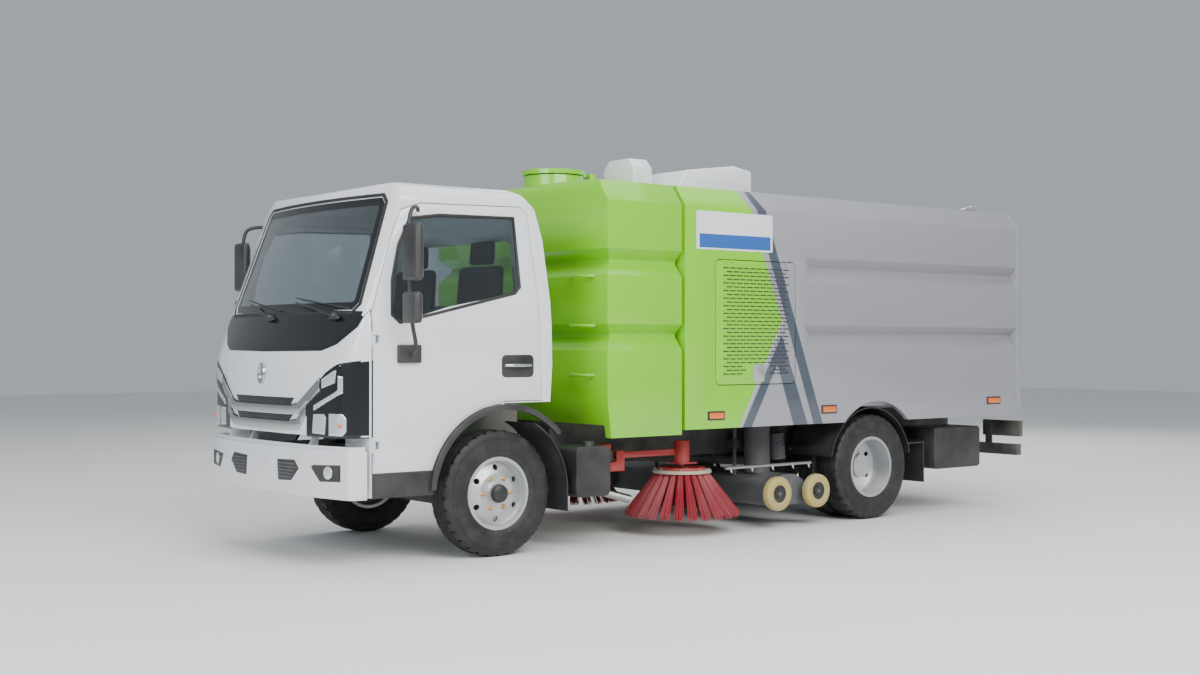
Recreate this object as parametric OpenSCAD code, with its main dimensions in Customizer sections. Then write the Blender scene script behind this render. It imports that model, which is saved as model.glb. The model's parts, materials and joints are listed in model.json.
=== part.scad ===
// Street sweeper truck on a forward-control chassis: tilting cab, water tank, tipping dust
// hopper with an engine bay, two disc brushes and a wheeled suction nozzle.
// Millimetres, +X forward, +Y to the truck's left, +Z up. The origin is on the ground under
// the middle of the truck. Modules are drawn from the front axle, and placed() moves them.

/* [Overall] */
// Front axle to rear axle
wheelbase = 3308; // [3100:1:3800]
// Front axle to the face of the bumper
front_reach = 1155; // [1100:1:1300]
// Rear axle to the rear face of the tailgate
body_overhang = 1742; // [1500:1:2000]
// How far the rearmost fittings stand out behind the tailgate
rear_fittings = 120; // [100:1:250]
// Width over the tank and hopper sides
body_width = 2000; // [1900:1:2200]
// Height of the roof edge of the tank and hopper
roof_height = 2360; // [2300:1:2700]

/* [Wheels] */
// Outer radius of the road tyres
tyre_radius = 387; // [360:1:410]
// Width of one road tyre
tyre_width = 198; // [180:1:210]
// Radius of the rim at its flange
rim_radius = 228; // [215:1:240]
// Distance of the front tyre's middle from the centre line
front_track_half = 785; // [770:1:800]
// Distance of the outer rear tyre's middle from the centre line
rear_outer_track_half = 860; // [850:1:880]
// Distance between the middles of the twin rear tyres
twin_spacing = 225; // [215:1:235]

/* [Cab] */
// Width of the cab over its doors
cab_width = 1860; // [1780:1:1900]
// Height of the cab roof at its middle
cab_height = 2275; // [2275:1:2400]
// Thickness of the cab walls round the doors
cab_wall = 80; // [70:1:100]
// Thickness of the doors
door_thickness = 45; // [40:1:50]
// Radius of the front wheel arch
cab_arch_radius = 540; // [530:1:560]
// Forward position of the front edge of the doors
door_front = 910; // [890:1:915]
// Backward position of the cab's tilt pivot from the bumper face
tilt_pivot_back = 125; // [120:1:130]
// Height of the cab's tilt pivot
tilt_pivot_height = 660; // [650:1:665]

/* [Tank and hopper] */
// Front axle to the front wall of the water tank
tank_start = 750; // [740:1:800]
// Length of the water tank
tank_length = 630; // [500:1:700]
// Gap between the tank and the hopper
tank_gap = 30; // [25:1:60]
// Lower edge of the side skirts
skirt_height = 730; // [700:1:760]
// Wall thickness of tank and hopper sides
wall = 30; // [20:1:36]
// Depth of the pressed side grooves
groove_depth = 70; // [30:1:80]
// Length of the auxiliary engine bay
bay_length = 1130; // [1100:1:1200]
// Underside of the hopper floor
floor_height = 840; // [840:1:860]
// Radius of the hole over the rear wheels in the skirt
rear_arch_radius = 490; // [480:1:520]
// Thickness of the tailgate
tailgate_thickness = 60; // [50:1:80]

/* [Chassis] */
// Width over the two frame rails
frame_width = 750; // [740:1:760]
// Height of the frame rails
rail_height = 180; // [160:1:180]
// Top of the frame rails
frame_top = 680; // [670:1:690]
// Height of the subframe rails
subframe_height = 100; // [80:1:100]

/* [Sweeping gear] */
// Radius of the brush at its tips
brush_radius = 405; // [380:1:420]
// Radius of the brush disc
brush_disc_radius = 205; // [190:1:220]
// Height of the bristle tips above the ground when parked
brush_lift = 105; // [100:1:130]
// Number of bristle bundles
bundle_count = 24; // [18:1:26]
// Rear axle to the brush spindle
brush_ahead = 1620; // [1580:1:1680]
// Distance of the brush spindle from the centre line
brush_out = 650; // [630:1:680]
// Rear axle to the middle of the suction nozzle
nozzle_ahead = 810; // [790:1:830]
// Radius of the nozzle wheels
nozzle_wheel_radius = 120; // [110:1:125]
// Height of the nozzle wheels above the ground when parked
nozzle_lift = 130; // [125:1:140]

/* [Hidden] */
$fn = 48;

// Clearances: between seated pieces, between moving pieces, and round a pin
seat_gap = 0.3;
move_gap = 6;
pin_gap = 0.05;

// Main stations, measured from the front axle
rear_axle_x = -wheelbase;
body_rear_x = rear_axle_x - body_overhang;
tank_front_x = -tank_start;
tank_rear_x = tank_front_x - tank_length;
hopper_front_x = tank_rear_x - tank_gap;
bulkhead_x = hopper_front_x - bay_length;
hopper_rear_x = body_rear_x + tailgate_thickness + move_gap;
origin_x = (body_overhang + wheelbase + rear_fittings - front_reach) / 2;

// Body section
body_half = body_width / 2;
crown = 40;
chamfer = 100;
chamfer_drop = 135;
upper_groove = [1745, 1825, 1850, 1915];
lower_groove = [1260, 1345, 1370, 1430];
floor_thickness = 40;

// Frame
frame_bottom = frame_top - rail_height;
rail_width = 60;
rail_web = 8;
rail_out = frame_width / 2;
subframe_top = frame_top + subframe_height;
frame_front_x = front_reach - 105;
plate_height = 560;
plate_hole = 3.5;
plate_hole_out = 165;
bumper_return_x = front_reach - 195;
frame_rear_x = body_rear_x + 190 - 45;

// Leaf springs
front_spring_radius = 2600;
front_spring_reach = 540;
rear_spring_radius = 17200;
rear_spring_reach = 640;
leaf_count = 3;
leaf_thickness = 10;
leaf_overlap = 2;

// Hopper hinge
hinge_x = body_rear_x + 190;
hinge_z = subframe_top + 10;
hinge_pin = 20;
hinge_out = rail_out - rail_width / 2;
ear_in = hinge_out - 68;
ear_out = hinge_out - 36;

// Lift cylinders: lower pin on the subframe, eye under the hopper floor
lift_out = 230;
lift_base = [hinge_x + 2450, subframe_top - 170];
lift_eye = [hinge_x + 1150, floor_height - 42];
barrel_radius = 48;
rod_radius = 26;
lift_pin = 18;

// Cab stations
cab_half = cab_width / 2;
cab_front_x = front_reach - 3;
panel_bottom = 770;
belt_z = 1420;
screen_foot = [front_reach - 113, 1483];
screen_top = [front_reach - 387, 2230];
screen_lean = atan2(screen_foot[0] - screen_top[0], screen_top[1] - screen_foot[1]);
bow_radius = 4180;
bow_facets = 720;
corner_radius = 190;
pillar_radius = 90;
corner_overlap = 5;
front_wall = 50;
cab_rear_x = -363;
tilt_pivot_x = front_reach - tilt_pivot_back;
tilt_pin = 16;
foot_floor = 850;
seat_floor = 1040;
tunnel_half = 640;
floor_sheet = 45;
sill_bottom = 420;
door_pin = 5;
door_knuckle = 9;
door_hinge = [door_front - 2, cab_half - 6];
door_hinge_heights = [720, 1330];
door_gap = 5;

// Wheels
wheel_z = tyre_radius;
kingpin_out = 640;
stub_radius = 32;
tyre_bore = rim_radius - 14;

// Brush gear
brush_x = rear_axle_x + brush_ahead;
brush_pivot = [brush_x + 650, brush_out - 30];
disc_z = 430;
arm_pivot_x = brush_pivot[0] - 95;
arm_z = 555;

// Suction nozzle
nozzle_x = rear_axle_x + nozzle_ahead;
nozzle_half = 880;
nozzle_wheel_out = 965;
nozzle_wheel_width = 60;
nozzle_wheel_reach = 195;

// Two-dimensional helpers ------------------------------------------------------------------

// Outward normal of the edge from a to b of an anticlockwise outline
function edge_normal(a, b) = let (d = (b - a) / norm(b - a)) [d[1], -d[0]];

// Anticlockwise outline with every edge moved outward by d
function grown(p, d) = [
  for (i = [0:len(p) - 1])
    let (
      n = len(p),
      s = edge_normal(p[(i + n - 1) % n], p[i]) + edge_normal(p[i], p[(i + 1) % n])
    )
    p[i] + s * 2 * d / (s * s)
];

// Points on an arc, from angle a0 to a1
function arc(c, r, a0, a1, steps) = [
  for (i = [0:steps]) let (a = a0 + (a1 - a0) * i / steps) c + r * [cos(a), sin(a)]
];

// Rectangle between two corners with rounded corners, anticlockwise
function round_box(p, q, r) = concat(
  arc([q[0] - r, q[1] - r], r, 0, 90, 6), arc([p[0] + r, q[1] - r], r, 90, 180, 6),
  arc([p[0] + r, p[1] + r], r, 180, 270, 6), arc([q[0] - r, p[1] + r], r, 270, 360, 6)
);

// Three-dimensional helpers ----------------------------------------------------------------

// Draws from the front axle's centre line, moved to the part's own frame
module placed() translate([origin_x, 0, 0]) children();

// The same piece on the truck's left or, mirrored, on its right
module on_side(side) if (side > 0) children(); else mirror([0, 1, 0]) children();

module both_sides() {
  children();
  mirror([0, 1, 0]) children();
}

// Outline drawn in X and Z, extruded along Y from y0 to y1
module side_prism(outline, y0, y1)
  translate([0, y1, 0]) rotate([90, 0, 0]) linear_extrude(y1 - y0) polygon(outline);

// Outline drawn in Y and Z, extruded along X from x0 to x1
module cross_prism(outline, x0, x1)
  translate([x0, 0, 0]) rotate([90, 0, 90]) linear_extrude(x1 - x0) polygon(outline);

module block(p, q) translate(p) cube(q - p);

// Round bar between two points
module rod(a, b, r) {
  d = b - a;
  translate(a)
    rotate([0, acos(d[2] / norm(d)), atan2(d[1], d[0])])
      cylinder(h = norm(d), r = r);
}

// Round bar along Y at x, z
module cross_pin(x, z, y0, y1, r)
  translate([x, y1, z]) rotate([90, 0, 0]) cylinder(h = y1 - y0, r = r);

function unit(v) = v / norm(v);

// Points on the bend of radius bend at corner i of a route
function bend_points(route, i, bend) = let (
  u = unit(route[i] - route[i - 1]), v = unit(route[i + 1] - route[i]),
  turn = acos(u * v), w = unit(v - u * (u * v)),
  centre = route[i] - u * bend * tan(turn / 2) + w * bend
) [for (k = [0:3]) centre + bend * (u * sin(turn * k / 3) - w * cos(turn * k / 3))];

// Route with every corner rounded to radius bend
function bent(route, bend) = concat(
  [route[0]], [for (i = [1:len(route) - 2]) each bend_points(route, i, bend)], [route[len(route) - 1]]
);

// Direction of a path at its point i
function heading(path, i) = unit(path[min(i + 1, len(path) - 1)] - path[max(i - 1, 0)]);

// Round tube of radius r swept along a path, never parallel to the vector beside
module swept_tube(path, r, beside, sides = 14) {
  last = len(path) - 1;
  polyhedron(
    points = [for (i = [0:last]) let (t = heading(path, i), a = unit(cross(beside, t)), b = cross(t, a))
      for (k = [0:sides - 1]) path[i] + r * (a * cos(360 * k / sides) + b * sin(360 * k / sides))],
    faces = concat(
      [[for (k = [0:sides - 1]) k]], [[for (k = [sides - 1:-1:0]) last * sides + k]],
      [for (i = [0:last - 1]) for (k = [0:sides - 1]) let (a = i * sides, n = (k + 1) % sides)
        each [[a + k, a + sides + k, a + sides + n], [a + k, a + sides + n, a + n]]]
    )
  );
}

// Chassis ----------------------------------------------------------------------------------

module frame_rail(x0, x1, bottom, top, out) {
  difference() {
    block([x0, out - rail_width, bottom], [x1, out, top]);
    block([x0 - 1, out - rail_width - 1, bottom + rail_web], [x1 + 1, out - rail_web, top - rail_web]);
  }
}

// Bracket that the end of a leaf spring butts against
module spring_bracket(x, s, drop) {
  a = x + s * seat_gap;
  b = a + s * 60;
  block([min(a, b), rail_out - 50, frame_bottom - drop], [max(a, b), rail_out, frame_bottom]);
}

module chassis_frame() placed() color("dimgray") {
  both_sides() {
    // Rail, with the bearing of the cab's tilt pivot at its front end
    difference() {
      union() {
        frame_rail(frame_rear_x, frame_front_x, frame_bottom, frame_top, rail_out);
        cross_pin(tilt_pivot_x, tilt_pivot_height, rail_out - rail_width, rail_out + 12, 40);
        block([tilt_pivot_x - 60, rail_out - rail_width, frame_bottom], [tilt_pivot_x + 20, rail_out, frame_top]);
      }
      cross_pin(tilt_pivot_x, tilt_pivot_height, 0, cab_half, tilt_pin);
    }
    // Brackets of the spring ends
    for (s = [-1, 1]) {
      spring_bracket(s * front_spring_reach, s, 95);
      spring_bracket(rear_axle_x + s * rear_spring_reach, s, 20);
    }
    // Outrigger of the brush swing pin
    block([brush_pivot[0] - 50, rail_out, frame_bottom + 20],
          [brush_pivot[0] + 50, brush_pivot[1] - 45, frame_bottom + 90]);
    difference() {
      translate([brush_pivot[0], brush_pivot[1], frame_bottom + 20]) cylinder(h = 70, r = 50);
      translate([brush_pivot[0], brush_pivot[1], 0]) cylinder(h = 2000, r = 20);
    }
    // Sleeve of the suction nozzle's guide rod
    difference() {
      block([nozzle_x + 80, rail_out, 540], [nozzle_x + 140, guide_out + 30, 600]);
      translate([nozzle_x + 110, guide_out, 0]) cylinder(h = 2000, r = 15 + pin_gap);
    }
    // Hangers of the tank, battery box and bumper
    block([-760, rail_out, 520], [-600, 699.7, 600]);
    block([rear_axle_x - 1100, rail_out, 520], [rear_axle_x - 940, 599.7, 600]);
  }
  for (x = [frame_front_x - 105, 420, -1350, rear_axle_x + 1100, rear_axle_x - 900, frame_rear_x + 160])
    block([x - 35, -rail_out + rail_web, frame_bottom + 70], [x + 35, rail_out - rail_web, frame_top - 30]);
}

module subframe() placed() color("dimgray") {
  both_sides() {
    // Rail, with the hinge bracket of the hopper at its rear end
    difference() {
      union() {
        frame_rail(frame_rear_x, tank_front_x, frame_top, subframe_top, rail_out);
        cross_pin(hinge_x, hinge_z, hinge_out - 20, hinge_out + 20, 38);
        block([hinge_x - 45, hinge_out - 20, frame_top + rail_web], [hinge_x + 45, hinge_out + 20, hinge_z]);
      }
      cross_pin(hinge_x, hinge_z, 0, body_half, hinge_pin);
    }
    // Bracket of the lift cylinder's lower pin
    block([lift_base[0] - 45, lift_out + 54, lift_base[1] - 45], [lift_base[0] + 45, rail_out - rail_width, subframe_top - 20]);
    block([lift_base[0] - 45, lift_out + 54, frame_top + 20], [lift_base[0] + 45, rail_out - rail_web, subframe_top - 20]);
    // Crosswise bearers of the water tank
    for (x = [tank_front_x - 60, tank_rear_x + 60])
      block([x - 40, -1, frame_top + 20], [x + 40, rail_out - rail_web, subframe_top]);
  }
  // Lower pins and bearers of the lift cylinders
  cross_pin(lift_base[0], lift_base[1], -lift_out - 60, lift_out + 60, lift_pin);
  for (x = [lift_base[0] + 120, hinge_x + 140])
    block([x - 30, -rail_out + rail_web, frame_top + 10], [x + 30, rail_out - rail_web, subframe_top - 10]);
}

module front_axle() placed() color("black") {
  both_sides() {
    cross_prism([[-1, 270], [470, 270], [kingpin_out - 40, 355], [kingpin_out, 355], [kingpin_out, 420],
                 [kingpin_out - 60, 420], [460, 345], [-1, 345]], -38, 38);
    translate([0, kingpin_out, 350]) cylinder(h = 75, r = 42);
    translate([0, kingpin_out, 300]) cylinder(h = 175, r = 18);
    // Spring seat
    block([-70, 320, 345], [70, 390, 375]);
  }
}

module rear_axle() placed() color("black") {
  translate([rear_axle_x, 0, wheel_z]) {
    sphere(r = 175);
    rotate([90, 0, 0]) cylinder(h = 2 * (rear_outer_track_half - twin_spacing - 110), r = 55, center = true);
    rotate([90, 0, 0]) cylinder(h = 2 * (rear_outer_track_half - 30), r = stub_radius, center = true);
    rotate([0, 90, 0]) cylinder(h = 260, r = 75);
  }
  both_sides() block([rear_axle_x - 80, 320, wheel_z + 40], [rear_axle_x + 80, 390, wheel_z + 70]);
}

// Leaf spring bowed to a radius, its shortest leaf at the bottom on a seat at height z
module leaf_spring(x, z, radius, reach) for (i = [0:leaf_count - 1]) {
  a = asin(reach / radius) * (1 - 0.15 * i);
  c = [x, z + (leaf_thickness - leaf_overlap) * (leaf_count - 1 - i) + radius];
  side_prism(concat(arc(c, radius, 270 - a, 270 + a, 8), arc(c, radius - leaf_thickness, 270 + a, 270 - a, 8)),
             rail_out - 50, rail_out);
}

module leaf_springs() placed() color("black") both_sides() {
  leaf_spring(0, 375.3, front_spring_radius, front_spring_reach);
  leaf_spring(rear_axle_x, wheel_z + 70.3, rear_spring_radius, rear_spring_reach);
}

module engine() placed() color("gray") {
  block([-560, -270, 430], [250, 270, 940]);
  block([250, -230, 500], [330, 230, 900]);
  rod([-560, 0, 560], [-980, 0, 540], 130);
  rod([-980, 0, 540], [rear_axle_x + 263, 0, wheel_z], 35);
  // Mounts that reach into the frame rails
  both_sides() block([-260, 269, 560], [-180, rail_out - rail_web - seat_gap, 620]);
}

module fuel_tank() placed() color("black") {
  side_prism(round_box([-815, 330], [-540, 650], 40), 700, 950);
  translate([-680, 890, 640]) cylinder(h = 40, r = 38);
}

module battery_box() placed() color("black") {
  side_prism(round_box([rear_axle_x - 1280, 330], [rear_axle_x - 725, 650], 30), 600, 950);
}

module exhaust() placed() color("gray") {
  rod([-520, 480, 425], [-900, 480, 425], 80);
  swept_tube(bent([[-890, 480, 425], [-990, 480, 425], [-1090, 540, 300], [-1260, 600, 250]], 60), 30, [0, 1, 0.2]);
  block([-700, rail_out, 470], [-640, 480, 500]);
}

// Outline of the bumper seen from above, on the left half
function bumper_plan(inset) = let (f = front_reach - inset, h = 950 - inset) concat(
  [[f, 0]], [[f - 8, 300]], [[f - 25, 600]], [[f - 65, 790]], arc([f - 165, h - 110], 110, 45, 90, 4), [[bumper_return_x, h]]
);

module bumper_skin(bottom, top, outer, inner)
  translate([0, 0, bottom]) linear_extrude(top - bottom)
    polygon(concat(bumper_plan(outer), [for (i = [len(bumper_plan(inner)) - 1:-1:0]) bumper_plan(inner)[i]]));

module front_bumper() placed() color("white") {
  both_sides() {
    difference() {
      bumper_skin(414, 690, 0, 45);
      // Screw hole of the number plate
      translate([front_reach - 100, plate_hole_out, plate_height]) rotate([0, 90, 0]) cylinder(h = 200, r = plate_hole);
    }
    bumper_skin(690, 713, 25, 45);
    block([frame_front_x + seat_gap, rail_out - 40, 530], [front_reach - 50, rail_out, 612]);
  }
}

module arch_shell(x, z, r, thickness, a0, a1, y0, y1)
  side_prism(concat(arc([x, z], r, a0, a1, 24), arc([x, z], r + thickness, a1, a0, 24)), y0, y1);

module mudguards() placed() color("black") both_sides() {
  // Behind each front wheel
  arch_shell(-10, wheel_z, 474, 8, 118, 178, 600, 925);
  block([-492, 600, 250], [-484, 925, wheel_z + 20]);
  block([-490, rail_out, 520], [-455, 700, 545]);
  // Over each pair of rear wheels, with its flap
  arch_shell(rear_axle_x, wheel_z, 436, 8, 12, 168, 510, 945);
  block([rear_axle_x - 600, 510, 240], [rear_axle_x - 592, 945, 560]);
  block([rear_axle_x - 600, 510, 540], [rear_axle_x - 424, 945, 548]);
  block([rear_axle_x - 424, 510, 470], [rear_axle_x - 418, 945, 548]);
  for (s = [1, -1]) block([rear_axle_x + s * 430 - 12, rail_out, 505], [rear_axle_x + s * 430 + 12, 530, 530]);
}

module tail_bar() placed() color("gray") {
  tail_x = body_rear_x - rear_fittings + 60;
  // Rear bumper beam, its two hangers and the lamp boards
  block([tail_x - 40, -930, 390], [tail_x + 20, 930, 480]);
  both_sides() {
    block([tail_x - 10, rail_out - 50, 480], [frame_rear_x - seat_gap, rail_out + 10, 560]);
    block([tail_x - 60, 560, 540], [tail_x - 20, 930, 670]);
    block([tail_x - 20, 600, 480], [tail_x, 660, 640]);
  }
}

// Tank and hopper --------------------------------------------------------------------------

// Left half of the body section, from the outside bottom to the middle of the roof
function half_section(inset, bottom, depth) = let (
  h = body_half - inset, d = h - depth, top = roof_height - inset
) concat(
  [[h, bottom]],
  depth == 0 ? [] : [
    [h, lower_groove[0]], [d, lower_groove[1]], [d, lower_groove[2]], [h, lower_groove[3]],
    [h, upper_groove[0]], [d, upper_groove[1]], [d, upper_groove[2]], [h, upper_groove[3]]
  ],
  [[h, roof_height - chamfer_drop], [h - chamfer, top], [0, top + crown]]
);

// Whole section, anticlockwise
function body_section(inset, bottom, depth) = let (half = half_section(inset, bottom, depth)) concat(
  half, [for (i = [len(half) - 2:-1:0]) [-half[i][0], half[i][1]]]
);

module water_tank() placed() color("limegreen") {
  difference() {
    intersection() {
      cross_prism(body_section(0, skirt_height - 30, groove_depth), tank_rear_x, tank_front_x);
      // Front wall with the same grooves, a sloped toe and a rounded top
      side_prism(concat(
        [[tank_rear_x - 1, 0], [tank_front_x - 120, 0], [tank_front_x, skirt_height + 220],
         [tank_front_x, lower_groove[0]], [tank_front_x - groove_depth, lower_groove[1]],
         [tank_front_x - groove_depth, lower_groove[2]], [tank_front_x, lower_groove[3]],
         [tank_front_x, upper_groove[0]], [tank_front_x - groove_depth, upper_groove[1]],
         [tank_front_x - groove_depth, upper_groove[2]], [tank_front_x, upper_groove[3]]],
        arc([tank_front_x - 90, roof_height - 60], 90, 0, 90, 6), [[tank_rear_x - 1, roof_height + crown]]
      ), -body_half - 1, body_half + 1);
    }
    // Room under the tank for the frame
    block([tank_rear_x - 1, -body_half + 60, 0], [tank_front_x + 1, body_half - 60, subframe_top + seat_gap]);
  }
  // Neck of the filling hatch
  difference() {
    translate([tank_rear_x + tank_length / 2, 0, roof_height - 20]) cylinder(h = 130, r = 210);
    translate([tank_rear_x + tank_length / 2, 0, roof_height + 60]) cylinder(h = 100, r = 195);
  }
  // Hinge ears of the lid
  for (y = [-90, 90])
    block([hatch_hinge[0] - 30, y - 12, roof_height], [hatch_hinge[0] + 18, y + 12, hatch_hinge[1] + 14]);
  cross_pin(hatch_hinge[0], hatch_hinge[1], -102, 102, 8);
}

hatch_hinge = [tank_rear_x + tank_length / 2 - 262, roof_height + 128];

module tank_lid() placed() color("limegreen") {
  difference() {
    union() {
      translate([tank_rear_x + tank_length / 2, 0, roof_height + 116]) cylinder(h = 32, r = 225);
      block([hatch_hinge[0], -70, hatch_hinge[1] - 8], [hatch_hinge[0] + 80, 70, hatch_hinge[1] + 12]);
      cross_pin(hatch_hinge[0], hatch_hinge[1], -70, 70, 16);
    }
    cross_pin(hatch_hinge[0], hatch_hinge[1], -200, 200, 8 + pin_gap);
  }
}

// Grooves pressed into the hopper sides behind the bay, ending in a slope
module hopper_grooves(inset) both_sides() intersection() {
  translate([0, 0, 1000]) linear_extrude(1000) polygon([
    [bulkhead_x, body_half + 1], [bulkhead_x - 110, body_half - groove_depth - inset],
    [body_rear_x - 100, body_half - groove_depth - inset], [body_rear_x - 100, body_half + 1]
  ]);
  union() for (g = [lower_groove, upper_groove])
    cross_prism([[body_half + 1, g[0]], [body_half + 1, g[3]], [body_half - inset, g[3]],
                 [body_half - groove_depth - inset, g[2]], [body_half - groove_depth - inset, g[1]],
                 [body_half - inset, g[0]]], body_rear_x - 100, bulkhead_x);
}

flap_low = [hopper_front_x - 1035, 1025];
flap_high = [hopper_front_x - 275, 1870];
flap_hinge_z = flap_high[1] - 8;
flap_hinge_y = body_half - 4;
flap_thickness = 26;

module hopper() placed() color("silver") {
  difference() {
    cross_prism(body_section(0, skirt_height, 0), hopper_rear_x, hopper_front_x);
    hopper_grooves(0);
    // Engine bay, open below
    cross_prism(body_section(wall, 0, 0), bulkhead_x + wall, hopper_front_x - wall);
    // Dust hopper, open at the rear
    difference() {
      cross_prism(body_section(wall, floor_height + floor_thickness, 0), hopper_rear_x - 1, bulkhead_x);
      hopper_grooves(wall);
    }
    // Underside between the skirts
    block([hopper_rear_x - 1, -body_half + 40, 0], [hopper_front_x + 1, body_half - 40, floor_height]);
    both_sides() {
      // Wheel arch in the skirt
      cross_pin(rear_axle_x, wheel_z, body_half - 60, body_half + 1, rear_arch_radius);
      // Doorway of the engine flap
      side_prism(grown(round_box(flap_low, flap_high, 40), move_gap), body_half - 100, body_half + 1);
    }
    // Suction inlet in the floor
    both_sides() translate([nozzle_x, duct_out, 0]) cylinder(h = floor_height + 100, r = duct_radius);
  }
  both_sides() {
    // Sills that rest on the subframe, and the hinge ears
    block([hinge_x + 90, rail_out - 50, subframe_top + move_gap], [bulkhead_x, rail_out, floor_height + 1]);
    block([hinge_x - 42, ear_in, hinge_z], [hinge_x + 42, ear_out, floor_height + 1]);
    cross_pin(hinge_x, hinge_z, ear_in, ear_out, 42);
    cross_pin(hinge_x, hinge_z, ear_in + 2, hinge_out + 22, hinge_pin - pin_gap);
    // Lug beside the lift cylinder's eye, which carries its own pin
    block([lift_eye[0] - 35, lift_out + 32, lift_eye[1] - 35], [lift_eye[0] + 35, lift_out + 52, floor_height + 1]);
    // Hinge lugs and pins of the engine flap
    for (x = [flap_low[0] + 120, flap_high[0] - 120]) flap_hinge(x, 0);
    // Hinge ears of the tailgate
    side_prism([[hopper_rear_x, roof_height + 10], [hopper_rear_x + 60, roof_height + 10],
                [hopper_rear_x + 60, gate_hinge[1]], [hopper_rear_x - 10, gate_hinge[1] + 16],
                [hopper_rear_x - 34, gate_hinge[1] + 16], [hopper_rear_x - 36, roof_height + 27],
                [hopper_rear_x, roof_height + 27]], 480, 520);
    cross_pin(gate_hinge[0], gate_hinge[1], 482, 560, gate_pin - pin_gap);
  }
}

gate_hinge = [hopper_rear_x - 20, roof_height + 62];
gate_pin = 12;

// The hopper's half (part 0) of a flap hinge, or the bore it needs (part 1)
module flap_hinge(x, part) {
  if (part == 0) {
    cross_x(x - 30, x + 30, 4);
    for (s = [0, 1])
      block([x - 36 + 66 * s, flap_hinge_y - 24, flap_hinge_z - 8], [x - 30 + 66 * s, flap_hinge_y + 7, flap_hinge_z + 30]);
  }
  if (part == 1) cross_x(x - 31, x + 31, 4 + pin_gap);
}

// Bar along X on the flap's hinge line
module cross_x(x0, x1, r)
  translate([x0, flap_hinge_y, flap_hinge_z]) rotate([0, 90, 0]) cylinder(h = x1 - x0, r = r);

module engine_flap(side) placed() color("limegreen") on_side(side) difference() {
  union() {
    side_prism(round_box(flap_low, flap_high, 40), body_half - flap_thickness, body_half);
    for (x = [flap_low[0] + 120, flap_high[0] - 120]) cross_x(x - 29, x + 29, 8);
  }
  for (x = [flap_low[0] + 120, flap_high[0] - 120]) {
    flap_hinge(x, 1);
    for (s = [-1, 1])
      block([x + 33 * s - 4, flap_hinge_y - 60, flap_hinge_z - 14], [x + 33 * s + 4, flap_hinge_y + 20, flap_hinge_z + 20]);
  }
}

module left_engine_flap() engine_flap(1);
module right_engine_flap() engine_flap(-1);

module tailgate() placed() color("silver") {
  difference() {
    cross_prism(body_section(0, skirt_height + 20, 0), body_rear_x, body_rear_x + tailgate_thickness);
    cross_prism(grown(body_section(0, skirt_height + 20, 0), -60), body_rear_x - 1, body_rear_x + 25);
  }
  cross_prism(grown(body_section(0, skirt_height + 20, 0), -200), body_rear_x + 5, body_rear_x + 26);
  both_sides() difference() {
    union() {
      cross_pin(gate_hinge[0], gate_hinge[1], 526, 560, 26);
      side_prism([[body_rear_x, roof_height + 8], [body_rear_x + tailgate_thickness, roof_height + 8],
                  [gate_hinge[0] + 10, gate_hinge[1] - 14], [gate_hinge[0] - 10, gate_hinge[1] + 20],
                  [body_rear_x, gate_hinge[1] - 5]], 526, 560);
      block([body_rear_x, 526, roof_height - 30], [body_rear_x + tailgate_thickness, 560, roof_height + 10]);
    }
    cross_pin(gate_hinge[0], gate_hinge[1], 500, 600, gate_pin);
  }
}

module roof_hoods() placed() color("white") difference() {
  union() {
    // Outlet of the fan, and the long intake hood behind it
    cross_prism([[100, roof_height], [440, roof_height], [440, roof_height + 170], [380, roof_height + 235],
                 [160, roof_height + 235], [100, roof_height + 170]], hopper_front_x - 190, hopper_front_x - 20);
    side_prism([[hopper_front_x - 950, roof_height], [hopper_front_x - 230, roof_height],
                [hopper_front_x - 320, roof_height + 150], [hopper_front_x - 780, roof_height + 210],
                [hopper_front_x - 950, roof_height + 180]], -650, 650);
  }
  cross_prism(body_section(-seat_gap, skirt_height, 0), hopper_rear_x, hopper_front_x);
}

module auxiliary_engine() placed() color("gray") {
  block([hopper_front_x - 1000, -350, subframe_top + seat_gap], [hopper_front_x - 200, 350, 1500]);
  translate([hopper_front_x - 640, 0, 1499]) cylinder(h = 381, r = 330);
}

module lift_barrels() placed() color("silver") both_sides() {
  at = [lift_base[0], lift_out, lift_base[1]];
  eye = [lift_eye[0], lift_out, lift_eye[1]];
  along = (eye - at) / norm(eye - at);
  difference() {
    union() {
      rod(at + along * 60, at + along * 830, barrel_radius);
      rod(at, at + along * 70, 30);
      cross_pin(at[0], at[2], lift_out - 28, lift_out + 28, 38);
    }
    cross_pin(at[0], at[2], 0, body_half, lift_pin + pin_gap);
    rod(at + along * 120, at + along * 900, rod_radius + 0.1);
  }
}

module lift_rods() placed() color("white") both_sides() {
  at = [lift_base[0], lift_out, lift_base[1]];
  eye = [lift_eye[0], lift_out, lift_eye[1]];
  along = (eye - at) / norm(eye - at);
  rod(at + along * 130, eye - along * 20, rod_radius);
  cross_pin(eye[0], eye[2], lift_out - 26, lift_out + 24, 34);
  cross_pin(eye[0], eye[2], lift_out - 30, lift_out + 26, lift_pin);
}

// Cab --------------------------------------------------------------------------------------

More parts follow.
